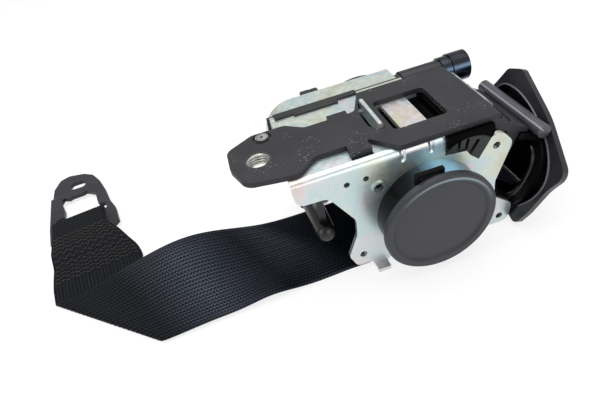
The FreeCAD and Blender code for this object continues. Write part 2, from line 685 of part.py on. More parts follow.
def make_lock_gear():
    """The ratchet wheel of the emergency lock, which turns with the spool."""
    radius = cell("cover_radius") * 0.53
    depth = 1.5
    teeth = 30
    points = []
    for i in range(teeth):
        angle = 2 * math.pi * i / teeth
        for reach, turned in ((radius, angle), (radius - depth, angle + 0.02)):
            points.append(Vector(reach * math.cos(turned), 0, reach * math.sin(turned)))
    points.append(points[0])
    wheel = Part.Face(Part.makePolygon(points)).extrude(Vector(0, 2.4, 0))
    wheel = wheel.cut(Part.makeCylinder(cell("bar_radius") + 0.02, 3, Vector(0, 0, 0), ALONG_Y))
    wheel.translate(Vector(axis_x, pan_out + 0.6, axis_z))
    free_piece("lock_gear", wheel)


def make_inertia_disc():
    """The flywheel that lags behind the spool when the webbing is snatched."""
    body = make_body("inertia_disc", ("sizes.spool_x", PAN_OUT, AXIS_Z))
    turn(body, [("sizes.bar_radius + 0.3", "3.5"), (f"{RATCHET} - 1.1", "3.5"), (f"{RATCHET} - 1.1", "8"),
                (f"{RATCHET} - 5", "8"), (f"{RATCHET} - 5", "5"),
                ("sizes.bar_radius + 0.3", "5")])
    return body


def make_tube():
    """The black steel tube of the pretensioner, from the pan to the gas generator."""
    body = make_body("pretensioner_tube", ("0", TUBE_Y, "-sizes.tube_drop"))
    ring = sketch_on(body, "YZ_Plane", "sizes.frame_right - 1.4")
    circle(ring, "0", "0", "sizes.tube_radius - 1")
    circle(ring, "0", "0", "sizes.tube_radius - 1 - sizes.tube_wall")
    pad(body, ring, "sizes.tube_end - sizes.frame_right + 1.4")
    sleeve = sketch_on(body, "YZ_Plane", "sizes.frame_right + 4")
    circle(sleeve, "0", "0", "sizes.tube_radius")
    circle(sleeve, "0", "0", "sizes.tube_radius - 1 - sizes.tube_wall")
    pad(body, sleeve, "sizes.tube_end - sizes.frame_right - 4")
    return body


def make_piston():
    """The seal plug that the gas drives along the tube, behind the balls."""
    body = make_body("drive_piston", ("0", TUBE_Y, "-sizes.tube_drop"))
    plug = sketch_on(body, "YZ_Plane", "sizes.frame_right + 3.2 + sizes.shot_radius*5.1")
    circle(plug, "0", "0", "sizes.tube_radius - 1 - sizes.tube_wall - 0.05")
    pad(body, plug, "4")


def make_balls():
    """The column of steel balls that the gas drives out of the tube into the wheel's pockets."""
    balls = []
    for number in range(3):
        ball = DOC.addObject("Part::Sphere", f"shot_{number}")
        ball.setExpression("Radius", "sizes.shot_radius")
        ball.setExpression("Placement.Base.x",
                           f"sizes.frame_right + 3.2 + sizes.shot_radius*{2.02 * number}")
        ball.setExpression("Placement.Base.y", TUBE_Y)
        ball.setExpression("Placement.Base.z", "-sizes.tube_drop")
        balls.append(ball)
    group = DOC.addObject("Part::Compound", "drive_balls")
    group.Label = "drive_balls"
    group.Links = balls
    DOC.recompute()
    PIECES.append(group)


def make_generator():
    """The gas generator's steel cap, rolled over the tube's end."""
    body = make_body("gas_generator", ("sizes.tube_end", TUBE_Y,
                                       "-sizes.tube_drop"))
    shell = sketch_on(body, "YZ_Plane")
    circle(shell, "0", "0", "sizes.generator_radius")
    pad(body, shell, "sizes.generator_length")
    neck = sketch_on(body, "YZ_Plane", "-5")
    circle(neck, "0", "0", "sizes.generator_radius - 0.6")
    circle(neck, "0", "0", "sizes.tube_radius")
    pad(body, neck, "5")
    socket = sketch_on(body, "YZ_Plane", "sizes.generator_length")
    circle(socket, "0", "0", "sizes.generator_radius - 2.2")
    pocket(body, socket, "5")
    return body


def make_socket():
    """The plastic igniter socket in the generator's end, with its two contact pins."""
    body = make_body("igniter_socket", ("sizes.tube_end", TUBE_Y,
                                        "-sizes.tube_drop"))
    ring = sketch_on(body, "YZ_Plane", "sizes.generator_length - 5")
    circle(ring, "0", "0", "sizes.generator_radius - 2.2")
    circle(ring, "0", "0", "sizes.generator_radius - 3.4")
    pad(body, ring, "4.2")
    floor_disc = sketch_on(body, "YZ_Plane", "sizes.generator_length - 5")
    circle(floor_disc, "0", "0", "sizes.generator_radius - 3.3")
    pad(body, floor_disc, "0.8")
    pins = sketch_on(body, "YZ_Plane", "sizes.generator_length - 4.4")
    circle(pins, "1.4", "0", "0.5")
    circle(pins, "-1.4", "0", "0.5")
    pad(body, pins, "3.2")
    return body


def guide_placement():
    """The guide's own frame: local X out of the trim plate, local Z up along it."""
    return Placement(Vector(cell("guide_x"), 0, floor), Rotation(ALONG_Y, cell("guide_lean")))


def make_bezel():
    """The guide's trim plate: a rounded shield with a wide opening."""
    body = make_body("guide_bezel")
    body.Placement = guide_placement()
    face = sketch_on(body, "YZ_Plane")
    first = polygon(face, [
        ("-24.5", "1.3"), ("-27.6", "10"), ("-30.6", "25"), ("-35.2", "35.5"), ("-12", "51.2"),
        ("14", "62.6"), ("22.4", "59.4"), ("25.8", "51.2"), ("32.5", "38"), ("36.6", "22"), ("36.6", "4.6"),
        ("-12", "4.6")])
    pad(body, face, "sizes.guide_gauge")
    round_corners(body, face, first, {0: "3", 1: "30", 2: "30", 3: "6", 4: "60", 5: "4.5", 6: "3.5",
                                      10: "3", 11: "6"}, ALONG_X)
    hole = sketch_on(body, "YZ_Plane", "sizes.guide_gauge")
    first = polygon(hole, [
        ("-21", "10"), ("-26.5", "18"), ("-28", "29"), ("-21", "40"), ("-7", "48.2"), ("8", "53"), ("19", "52.8"),
        ("23.5", "49"), ("29.5", "37"), ("33.6", "22"), ("33.6", "9.6")])
    pocket(body, hole, "sizes.guide_gauge")
    round_corners(body, hole, first, {0: "4", 1: "6", 2: "10", 3: "10", 4: "20", 5: "20", 6: "3", 7: "3"}, ALONG_X)
    return body


def make_funnel():
    """The guide's inner throat: an oval tunnel with rounded lips that the webbing runs through."""
    body = make_body("guide_funnel")
    body.Placement = guide_placement()
    mouth = [("-10.1", "11.5"), ("31.5", "11.5"), ("31.5", "21"), ("26", "38"), ("-9.6", "38"), ("-13.6", "36.9"),
             ("-16.5", "34"), ("-17.6", "30"), ("-17.6", "19"), ("-16.6", "15.25"), ("-13.85", "12.5")]
    level = "sizes.guide_gauge"
    for low, high, outline, round_outer in (
            ("-2.5", "0", [("-23.5", "5.5"), ("34", "5.5"), ("34", "20"), ("29", "36"), ("26", "44.1"),
                           ("-23.5", "44.1")], {0: "13", 1: "3", 5: "15"}),
            ("0", level, [("-22.2", "21"), ("-19.4", "13.6"), ("-12", "10.3"), ("32.8", "10.3"), ("32.8", "21.5"),
                          ("28", "37.5"), ("26", "42"), ("-9", "42"), ("-17.6", "38"), ("-21.4", "30")], {}),
            (level, f"{level} + 1.2", [
                ("-22", "8.8"), ("-27.6", "17.6"), ("-29.2", "29"), ("-21.8", "41"), ("-7.4", "49.4"), ("8", "54.2"),
                ("19.5", "54"), ("24.5", "49.8"), ("30.6", "37.4"), ("34.7", "22"), ("34.7", "8.8")], {})):
        face = sketch_on(body, "YZ_Plane", low)
        first = polygon(face, outline)
        pad(body, face, f"({high}) - ({low})")
        if round_outer:
            round_corners(body, face, first, round_outer, ALONG_X, 6)
    throat = sketch_on(body, "YZ_Plane", f"{level} + 1.2")
    polygon(throat, mouth)
    pocket(body, throat, f"{level} + 3.7")
    shelf = sketch_on(body, "YZ_Plane", "-sizes.funnel_depth")
    rectangle(shelf, "-14", "41", "26", "44.1")
    pad(body, shelf, "sizes.funnel_depth - 2")
    slot = side_sketch(body, f"{NEAR_OUT} - 0.4")
    rectangle(slot, "-4", "0", "-1.6", "14")
    pocket(body, slot, "sizes.frame_gauge + 0.8")
    return body


def make_guide_bar():
    """The smooth rounded bar across the top of the throat."""
    body = make_body("guide_bar")
    body.Placement = guide_placement()
    radius = "sizes.guide_bar"
    rail = side_sketch(body, "28.8")
    circle(rail, "-4", "47.2", radius)
    pad(body, rail, "46.5")
    return body


def make_arm():
    """The ribbed arm that hooks the guide under the bracket's turned-down end."""
    body = make_body("guide_arm")
    side = side_sketch(body, "25")
    polygon(side, [
        ("94.2", "-5.2"), ("97.4", "-8.6"), ("99.8", "-7.6"), ("101.6", "-8.7"), ("102.1", "-7.9"), ("103.9", "-9.1"),
        ("104.3", "-10.6"), ("106.1", "-11.8"), ("106.6", "-11"), ("108.6", "-12.3"), ("109", "-14"), ("116.2", "-18.4"),
        ("115.5", "-20.1"), ("111.5", "-18.6"), ("110.4", "-21.4"), ("107.5", "-28.4"), ("105.5", "-27.6"),
        ("105.4", "-16.5"), ("96", "-11.2"), ("92.4", "-6.6")])
    pad(body, side, "38")
    return body


def make_inlet():
    """The ribbed black block under the bracket, clipped over the near flange."""
    body = make_body("webbing_inlet")
    top = f"({PLATE_TOP} - 0.3)"
    block = side_sketch(body, "28")
    rectangle(block, "sizes.frame_right + 0.4", "-11.6", "92", top)
    pad(body, block, f"28 - ({NEAR_OUT} - 0.3)")
    comb = side_sketch(body, f"{NEAR_OUT} - 0.3")
    polygon(comb, [
        ("72.2", top), ("92.6", top), ("93.2", "-6.6"), ("86.6", "-18.2"), ("82.7", "-14.6"), ("86.6", "-8.4"),
        ("85.2", "-7.4"), ("82.4", "-12.2"), ("80.9", "-11.4"), ("82", "-6.4"), ("80.6", "-5.8"), ("79.8", "-10.5"),
        ("77.7", "-10.2"), ("78.2", "-5.6"), ("77", "-5.2"), ("76.2", "-10.7"), ("73.1", "-10.5")])
    pad(body, comb, "1.7")
    return body


def make_guard():
    """The black curtain under the plate's left end, with a round lower lip beside the webbing."""
    body = make_body("edge_guard", ("19.3", "0", "0"))
    wall = side_sketch(body, "26")
    rectangle(wall, "-1.6", "-39.6", "1.6", PLATE_UNDER)
    pad(body, wall, "36.5")
    lip = side_sketch(body, "26")
    circle(lip, "0", "-39.6", "sizes.guard_radius")
    pad(body, lip, "38")
    return body


def rounded_path(points, radii):
    """A wire of straight runs joined by tangent arcs."""
    edges = []
    start = points[0]
    for before, corner, after, radius in zip(points, points[1:], points[2:], radii):
        come = (corner - before).normalize()
        go = (after - corner).normalize()
        half = come.getAngle(go) / 2
        if half < 1e-4:
            continue
        cut = radius * math.tan(half)
        entry = corner - come * cut
        leave = corner + go * cut
        bisector = (go - come).normalize()
        centre = corner + bisector * (radius / math.cos(half))
        middle = centre - bisector * radius
        edges.append(Part.LineSegment(start, entry).toShape())
        edges.append(Part.Arc(entry, middle, leave).toShape())
        start = leave
    edges.append(Part.LineSegment(start, points[-1]).toShape())
    return Part.Wire(edges)


def strap(points, radii, low_y, width):
    """A flat strap whose centre line lies in the XZ plane and whose width runs along Y."""
    path = rounded_path(points, radii)
    half = belt_gauge / 2
    outer = path.makeOffset2D(half, 0, False, True)
    inner = path.makeOffset2D(-half, 0, False, True)
    ends = [Part.LineSegment(outer.OrderedVertexes[i].Point, inner.OrderedVertexes[i].Point).toShape()
            for i in (0, -1)]
    face = Part.Face(Part.Wire(Part.sortEdges(outer.Edges + ends + inner.Edges)[0]))
    face.translate(Vector(0, low_y, 0))
    return face.extrude(Vector(0, width, 0))


def make_outlet_strap():
    """The webbing from the roll through the guide, round its lower lip and back under the frame."""
    reach = cell("roll_radius") + running + belt_gauge / 2
    guide = guide_placement()
    lip = guide.multVec(Vector(12.0, 0, 14.5))
    run = Vector(lip.x - axis_x, 0, lip.z - axis_z)
    leave = math.atan2(run.z, run.x) + math.acos(reach / run.Length)
    start = Vector(axis_x + reach * math.cos(leave), 0, axis_z + reach * math.sin(leave))
    ground = floor + belt_gauge / 2
    drop = (ground - floor + 3.6 * math.sin(math.radians(cell("guide_lean"))))
    low = guide.multVec(Vector(3.6, 0, drop / math.cos(math.radians(cell("guide_lean")))))
    points = [start, lip, low, Vector(STRAP_START, 0, ground)]
    shape = strap(points, [5.0, 3.0], belt_mid - belt_width / 2, belt_width)
    free_piece("webbing_outlet", shape)


STRAP_START = 25.0
FOLD_NEAR = Vector(-62.8, -20.5, 0)
FOLD_FAR = Vector(-115.6, 24.0, 0)
FOLD_GAP = 0.3
TAIL_TURN = 97.0


def edge_curve(points):
    """A smooth curve through the points of one edge of the strap."""
    curve = Part.BSplineCurve()
    curve.interpolate([Vector(x, y, floor + z) for x, y, z in points])
    return curve.toShape()


def make_main_strap():
    """The long stretch on the table; its far edge arches up, and its end turns under at the fold."""
    lift = belt_gauge + FOLD_GAP
    near_y = belt_mid - belt_width / 2
    far_y = belt_mid + belt_width / 2
    near_edge = edge_curve([(STRAP_START, near_y, 0), (5, near_y - 0.9, 0.1), (-20, -18.4, 0.5),
                            (-45, -19.6, 1.3), (FOLD_NEAR.x, FOLD_NEAR.y, lift)])
    far_edge = edge_curve([(STRAP_START, far_y, 0), (0, 29.9, 1.0), (-30, 28.9, 7.5),
                           (-62, 28.6, 10.5), (FOLD_FAR.x, FOLD_FAR.y, lift)])
    sheet = Part.makeRuledSurface(near_edge, far_edge)
    top = sheet.extrude(Vector(0, 0, belt_gauge))
    line = (FOLD_FAR - FOLD_NEAR).normalize()
    outward = Vector(line.y, -line.x, 0)
    if outward.x > 0:
        outward = outward * -1
    outer = (2 * belt_gauge + FOLD_GAP) / 2
    inner = outer - belt_gauge
    centre = FOLD_NEAR + Vector(0, 0, floor + outer)
    length = (FOLD_FAR - FOLD_NEAR).Length
    ring = Part.makeCylinder(outer, length, centre, line).cut(Part.makeCylinder(inner, length, centre, line))
    corner = FOLD_NEAR + Vector(0, 0, floor - 1)
    half = Part.Face(Part.makePolygon([corner, corner + line * length, corner + line * length + outward * 9,
                                       corner + outward * 9, corner])).extrude(Vector(0, 0, 9))
    free_piece("webbing_strap", top.fuse(ring.common(half)).removeSplitter())


def tail_frame():
    """The tail's own frame: local Y runs from the fold to the anchor, local X across it."""
    return Placement(Vector(FOLD_NEAR.x, FOLD_NEAR.y, floor), Rotation(ALONG_Z, TAIL_TURN - 90))


def make_tail():
    """The end of the webbing: under the fold, then doubled, stitched and looped through the anchor."""
    place = tail_frame()
    half = belt_gauge / 2
    loop = cell("anchor_gauge") + 2 * LOOP_PLAY + belt_gauge
    far = place.inverse().multVec(FOLD_FAR + Vector(0, 0, floor))
    path = [Vector(0, 0, half), Vector(0, 53, half), Vector(0, 60, half + belt_gauge + 0.1),
            Vector(0, 75, half + belt_gauge + 0.1), Vector(0, 84, half + loop), Vector(0, LOOP_END, half + loop)]
    turned = [Vector(p.y, 0, p.z) for p in path]
    layer = strap(turned, [12.0, 12.0, 8.0, 8.0], 0, belt_width)
    back = Part.makeBox(LOOP_END - 62, belt_width, belt_gauge, Vector(62, 0, 0))
    bend = loop / 2
    hub = Vector(LOOP_END, 0, half + bend)
    ring = Part.makeCylinder(bend + half, belt_width, hub, ALONG_Y)
    ring = ring.cut(Part.makeCylinder(bend - half, belt_width, hub, ALONG_Y))
    ring = ring.common(Part.makeBox(20, belt_width, 20, Vector(LOOP_END, 0, -5)))
    join = Part.makeBox(11, belt_width, 0.3, Vector(63, 0, belt_gauge - 0.1))
    whole = layer.fuse([back, ring, join])
    whole.rotate(Vector(0, 0, 0), ALONG_Z, 90)
    outline = [Vector(0, 0, -2), Vector(far.x, far.y, -2), Vector(far.x, 100, -2), Vector(far.x + 3.3, 119, -2),
               Vector(-16.6, 119, -2), Vector(-15.5, 104, -2), Vector(-3.5, 78, -2), Vector(-1, 60, -2),
               Vector(0, 0, -2)]
    keep = Part.Face(Part.makePolygon(outline)).extrude(Vector(0, 0, 30))
    whole = whole.common(keep).removeSplitter()
    whole.Placement = place.multiply(whole.Placement)
    free_piece("webbing_tail", whole)


LOOP_PLAY = 0.9
LOOP_END = 110.5


def anchor_place():
    """The anchor plate's own frame: local Y runs up the plate, at the height of its lower bar."""
    return Placement(Vector(-104, 75, floor + belt_gauge + LOOP_PLAY), Rotation(ALONG_Z, ANCHOR_TURN))


ANCHOR_TURN = 9.7


def make_anchor():
    """The black end fitting: a joggled plate with a bolt hole, a keyhole and the webbing slot."""
    body = make_body("anchor_plate")
    body.Placement = anchor_place()
    gauge_text = "sizes.anchor_gauge"
    drop = f"{belt_gauge + LOOP_PLAY}"
    strip = sketch_on(body, "YZ_Plane")
    first = polygon(strip, [
        ("-9", "0"), ("40", "0"), ("44", f"-{drop}"), ("66", f"-{drop}"), ("66", f"{gauge_text} - {drop}"),
        ("45", f"{gauge_text} - {drop}"), ("41", gauge_text), ("-9", gauge_text)])
    pad(body, strip, "sizes.anchor_half*2 + 4", both=True)
    outside = sketch_on(body, "XY_Plane", "20")
    rectangle(outside, "-50", "-50", "50", "100")
    half = "sizes.anchor_half"
    first = polygon(outside, [
        (f"-{half} + 4", "-9"), (f"-{half} + 0.3", "-5"), (f"-{half} + 0.7", "10"), (f"-{half} + 3.2", "40"),
        (f"-{half} + 5.2", "54.5"), (f"-{half} + 10", "63.2"), (f"{half} - 24", "64.6"), (f"{half} - 14.5", "60.6"),
        (f"{half} - 9", "55"), (f"{half} - 5.8", "45"), (f"{half} - 3.4", "30"), (f"{half} - 2.4", "16.3"),
        (f"{half} - 0.3", "7"), (f"{half} - 0.3", "-6"), (f"{half} - 4", "-9")])
    pocket(body, outside, "40")
    round_corners(body, outside, first, {1: "2", 4: "5", 5: "3.5", 6: "3.5", 7: "4", 8: "5", 13: "2"}, ALONG_Z)
    holes = sketch_on(body, "XY_Plane", "20")
    first = polygon(holes, [
        ("-15.6", "9.8"), ("15", "9.8"), ("15", "15.4"), ("10.6", "16.4"), ("10.4", "30.2"), ("6.6", "34.4"),
        ("4.8", "36"), ("3.2", "35.2"), ("-3.8", "35.9"), ("-5.8", "35"), ("-9", "37.4"), ("-10.8", "34"),
        ("-9.4", "24"), ("-10.2", "17.4"), ("-15.6", "16.4")])
    second = polygon(holes, [("-4.8", "47"), ("5.6", "45.6"), ("4.6", "53"), ("-4", "54.4")])
    pocket(body, holes, "40")
    round_corners(body, holes, first, {0: "0.8", 1: "0.8", 2: "1.5", 14: "1.5", 4: "2", 3: "1.5", 13: "1.5",
                                       12: "4"}, ALONG_Z)
    round_corners(body, holes, second, {0: "2.5", 1: "2.5", 2: "2.5", 3: "2.5"}, ALONG_Z)


def make_wheel():
    """The wheel on the spool's shaft in the pan, with pockets for the pretensioner's balls."""
    body = make_body("drive_wheel", ("sizes.spool_x", TRAY_OUT, AXIS_Z))
    low, high = "1.2", "sizes.pan_width - sizes.pan_gauge - 1"
    turn(body, [("sizes.bar_radius + 0.02", low), ("sizes.wheel_radius", low), ("sizes.wheel_radius", high),
                ("sizes.bar_radius + 0.02", high)])
    scoop = side_sketch(body, "0")
    circle(scoop, "0", "sizes.spool_drop - sizes.tube_drop", "sizes.shot_radius + 0.3")
    cut = pocket(body, scoop, "sizes.pan_width")
    spin = body.newObject("PartDesign::PolarPattern", "drive_wheel_pockets")
    spin.Originals = [cut]
    axis = next(item for item in body.Origin.OriginFeatures if item.Role == "Y_Axis")
    spin.Axis = (axis, [""])
    spin.Angle = 360
    spin.setExpression("Occurrences", "sizes.pocket_count")
    body.Tip = spin
    DOC.recompute()


def make_sensor():
    """The vehicle sensor under the ratchet: a cup, a steel ball and the lever that the ball lifts."""
    radius = "sizes.ball_radius"
    top = f"(-sizes.spool_drop - {RATCHET})"
    place = ("sizes.spool_x", f"{PAN_OUT} + 5", f"{top} - 2.1 - {radius}")
    cup = make_body("sensor_cup", place)
    floor_disc = sketch_on(cup, "XY_Plane", f"-{radius} - 0.9")
    circle(floor_disc, "0", "0", f"{radius} + 1.3")
    pad(cup, floor_disc, "0.8")
    wall = sketch_on(cup, "XY_Plane", f"-{radius} - 0.2")
    circle(wall, "0", "0", f"{radius} + 1.3")
    circle(wall, "0", "0", f"{radius} + 0.7")
    pad(cup, wall, f"{radius} + 1")
    stem = sketch_on(cup, "XY_Plane", f"-{radius} - 0.9")
    rectangle(stem, "-2", f"{radius} + 0.9", "2", "sizes.cover_depth - sizes.cover_wall - 5")
    pad(cup, stem, f"{radius} + 1")
    ball = DOC.addObject("Part::Sphere", "sensor_ball")
    ball.Label = "sensor_ball"
    ball.setExpression("Radius", radius)
    for axis, text in zip("xyz", place):
        ball.setExpression(f"Placement.Base.{axis}", text)
    PIECES.append(ball)
    lever = make_body("sensor_lever", place)
    arm = side_sketch(lever, "1.5")
    first = polygon(arm, [("-5.4", f"{radius} + 0.1"), ("9.4", f"{radius} + 0.1"), ("9.4", f"{radius} + 1.3"),
                          ("-4.4", f"{radius} + 1.1"), ("-5.4", f"{radius} + 1.6")])
    pad(lever, arm, "3")
    pivot = side_sketch(lever, "3.4")
    circle(pivot, "9.4", f"{radius} + 0.7", "0.9")
    pad(lever, pivot, "6.8")


def make_bush():
    """The plastic bearing ring that centres the torsion bar in the mechanism cover."""
    body = make_body("cover_bush", ("sizes.spool_x", PAN_OUT, AXIS_Z))
    turn(body, [("sizes.bar_radius + 0.05", "5.6"), ("8", "5.6"), ("8", "sizes.cover_depth - sizes.cover_wall"),
                ("0", "sizes.cover_depth - sizes.cover_wall"), ("0", "7"), ("sizes.bar_radius + 0.05", "7")])


def main():
    make_frame()
    make_bracket()
    make_nut()
    make_rivet()
    make_spring_cover()
    make_spring_base()
    make_spring()
    make_arbor()
    make_spool()
    make_torsion_bar()
    make_roll()
    make_locking_head()
    make_pawl()
    make_tray()
    make_pan()
    make_mechanism_cover()
    make_lock_gear()
    make_inertia_disc()
    make_tube()
    make_piston()
    make_balls()
    make_generator()
    make_socket()
    make_bezel()
    make_funnel()
    make_guide_bar()
    make_arm()
    make_inlet()
    make_guard()
    make_outlet_strap()
    make_main_strap()
    make_tail()
    make_anchor()
    make_wheel()
    make_sensor()
    make_bush()
    write_parts()


def write_parts():
    """Check every object and write one STEP file for each sub-part."""
    DOC.recompute()
    for item in DOC.Objects:
        if "Invalid" in item.State or "Error" in item.State:
            raise RuntimeError(f"{item.Label} is {item.State}")
    os.makedirs("parts", exist_ok=True)
    for piece in PIECES:
        shape = piece.Shape
        if shape.isNull() or not shape.isValid():
            raise RuntimeError(f"{piece.Label} has no valid shape")
        shape.exportStep(f"parts/{piece.Label}.step")
        box = shape.BoundBox
        print(f"{piece.Label:22s} solids {len(shape.Solids)} volume {shape.Volume:9.0f} "
              f"x {box.XMin:.1f}..{box.XMax:.1f} y {box.YMin:.1f}..{box.YMax:.1f} z {box.ZMin:.1f}..{box.ZMax:.1f}")


main()
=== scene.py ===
"""Seat belt retractor with its webbing and anchor plate, dressed for a photograph.

Metres, +Z up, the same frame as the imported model. The origin is the threaded mounting hole.
"""
import math

import bmesh
import bpy
from mathutils import Matrix, Vector


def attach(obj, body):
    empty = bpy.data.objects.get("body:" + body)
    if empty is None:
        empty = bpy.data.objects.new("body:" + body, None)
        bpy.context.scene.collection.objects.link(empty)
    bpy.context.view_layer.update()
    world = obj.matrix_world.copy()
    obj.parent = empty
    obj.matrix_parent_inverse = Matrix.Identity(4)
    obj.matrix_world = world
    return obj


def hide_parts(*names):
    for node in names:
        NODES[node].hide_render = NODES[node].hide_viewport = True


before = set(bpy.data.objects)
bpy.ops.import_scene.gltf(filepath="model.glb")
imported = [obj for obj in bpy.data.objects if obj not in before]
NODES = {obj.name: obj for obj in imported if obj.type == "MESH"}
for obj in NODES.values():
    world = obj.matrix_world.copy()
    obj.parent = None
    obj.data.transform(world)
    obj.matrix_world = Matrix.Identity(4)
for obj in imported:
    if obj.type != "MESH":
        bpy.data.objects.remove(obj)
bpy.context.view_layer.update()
MM = 0.001

# Main sizes of the real object, in millimetres.
BELT_WIDTH = 47.0
BELT_GAUGE = 1.2
BELT_MIDDLE = 7.3
FLOOR = -64.5
SPOOL_X, SPOOL_Z = 64.0, -35.5
ROLL_RADIUS = 20.0
GUIDE_X, GUIDE_LEAN = 106.4, math.radians(21.85)

# Places that a finish depends on, in millimetres of the model's own frame, and two directions in X and Z:
# the side of the cap that faces the sky, where its wall takes a painted sky reflection, and the side of the
# guide's bar that takes a painted highlight.
CAP_FACE_Y = -30.6
DIMPLES_X = (54.0, 66.3)
BEND_X, BEND_Z = 96.5, -1.9
COAT_Z = -0.25
RIVET_CENTRE = (5.0, 14.5, 0.0)
ARCH_CENTRE = (82.0, 0.0, -14.5)
BAR_OUT, BAR_UP = -4.0, 47.2
SKY_SIDE = math.radians(74)
BAR_HIGHLIGHT_SIDE = math.radians(131)

# The weave's pitches, in millimetres: warp ribs across the strap and weft floats along it.
WARP = 1.8
WEFT = 1.7


def colour(code):
    """An sRGB hex code as the linear colour that Blender wants."""
    parts = [int(code[i:i + 2], 16) / 255 for i in (1, 3, 5)]
    return (*(p / 12.92 if p <= 0.04045 else ((p + 0.055) / 1.055) ** 2.4 for p in parts), 1.0)


def grey(value):
    """A linear grey, for ramps that carry a number."""
    return (value, value, value, 1.0)


def put(tree, kind, settings=None, **inputs):
    """Add one node, set its settings, and set or link its inputs."""
    node = tree.nodes.new(kind)
    for name, value in (settings or {}).items():
        setattr(node, name, value)
    for name, value in inputs.items():
        socket = node.inputs[int(name[1:])] if name[0] == "i" and name[1:].isdigit() else node.inputs[name]
        if isinstance(value, bpy.types.NodeSocket):
            tree.links.new(value, socket)
        else:
            socket.default_value = value
    return node


def link(tree, source, shader, name):
    """Feed one named input of a shader."""
    tree.links.new(source, shader.inputs[name])


def ramp(tree, source, *stops):
    """A colour ramp through (position, colour) stops."""
    node = put(tree, "ShaderNodeValToRGB", Fac=source)
    band = node.color_ramp
    while len(band.elements) < len(stops):
        band.elements.new(0.5)
    for element, (place, tint) in zip(band.elements, stops):
        element.position = place
        element.color = tint if not isinstance(tint, str) else colour(tint)
    return node.outputs["Color"]


def maths(tree, kind, a, b=0.0):
    """The result of one sum."""
    return put(tree, "ShaderNodeMath", {"operation": kind}, i0=a, i1=b).outputs[0]


def spread(tree, value, low, high, first=0.0, last=1.0, kind="LINEAR"):
    """A value mapped from low..high to first..last, and held at both ends."""
    return put(tree, "ShaderNodeMapRange", {"interpolation_type": kind}, Value=value, i1=low, i2=high,
               i3=first, i4=last).outputs[0]


def blend(tree, factor, a, b, kind="MIX"):
    """Two colours mixed by a factor."""
    return put(tree, "ShaderNodeMix", {"data_type": "RGBA", "blend_type": kind},
               Factor=factor, A=a, B=b).outputs["Result"]


def object_place(tree):
    """The surface point in the model's own frame, in metres."""
    return put(tree, "ShaderNodeTexCoord").outputs["Object"]


def noise(tree, place, scale, detail, **more):
    """Smooth noise from 0 to 1 at a scale per metre."""
    return put(tree, "ShaderNodeTexNoise", Vector=place, Scale=scale, Detail=detail, **more).outputs["Fac"]


def stretched(tree, place, scale):
    """A place scaled by its own factor on each axis."""
    return put(tree, "ShaderNodeMapping", Vector=place, Scale=scale).outputs[0]


def relief(tree, height, strength, depth):
    """The normal of a surface with fine relief, its depth in metres."""
    return put(tree, "ShaderNodeBump", Strength=strength, Distance=depth, Height=height).outputs[0]


def above(tree, axis, limit_mm, soft_mm):
    """1 where the place on one axis is above a limit in millimetres, 0 below it."""
    place = put(tree, "ShaderNodeSeparateXYZ", Vector=object_place(tree))
    return spread(tree, place.outputs[axis], (limit_mm - soft_mm) * MM, (limit_mm + soft_mm) * MM)


def arm_from(tree, centre, keep):
    """The way from a centre in millimetres to the surface point; keep scales its axes."""
    away = put(tree, "ShaderNodeVectorMath", {"operation": "SUBTRACT"}, i0=object_place(tree),
               i1=tuple(part * MM for part in centre))
    kept = put(tree, "ShaderNodeVectorMath", {"operation": "MULTIPLY"}, i0=away.outputs[0], i1=keep)
    return kept.outputs[0]


def reach_of(tree, arm):
    """The length of an arm, in metres."""
    return put(tree, "ShaderNodeVectorMath", {"operation": "LENGTH"}, i0=arm).outputs["Value"]


def towards(tree, arm, angle):
    """How far an arm goes towards an angle in the X and Z plane."""
    return put(tree, "ShaderNodeVectorMath", {"operation": "DOT_PRODUCT"}, i0=arm,
               i1=(math.cos(angle), 0.0, math.sin(angle))).outputs["Value"]


def new_material(name):
    """An empty node material with its tree and principled shader."""
    material = bpy.data.materials.new(name)
    material.use_nodes = True
    tree = material.node_tree
    tree.nodes.clear()
    shader = put(tree, "ShaderNodeBsdfPrincipled")
    put(tree, "ShaderNodeOutputMaterial", Surface=shader.outputs[0])
    return material, tree, shader


def reopen(material):
    """A finished material's tree and shader, and what feeds its base colour."""
    tree = material.node_tree
    shader = next(node for node in tree.nodes if node.type == "BSDF_PRINCIPLED")
    return tree, shader, shader.inputs["Base Color"].links[0].from_socket


def guide_point(out, up):
    """A point of the guide's own side view, in the model's X and Z."""
    return (GUIDE_X + out * math.cos(GUIDE_LEAN) + up * math.sin(GUIDE_LEAN),
            FLOOR - out * math.sin(GUIDE_LEAN) + up * math.cos(GUIDE_LEAN))


def moulded(name, base, light, rough, grain_mm, depth):
    """Injection-moulded plastic: spark-eroded grain, faint flow marks and rubbed, paler places."""
    material, tree, shader = new_material(name)
    place = object_place(tree)
    grain = noise(tree, place, 1000 / grain_mm, 3.0, Roughness=0.6)
    cloud = noise(tree, place, 60.0, 4.0, Roughness=0.55)
    link(tree, ramp(tree, cloud, (0.35, base), (0.75, light)), shader, "Base Color")
    link(tree, ramp(tree, cloud, (0.3, grey(rough - 0.06)), (0.7, grey(rough + 0.08))), shader, "Roughness")
    link(tree, relief(tree, grain, depth, 0.00008), shader, "Normal")
    return material


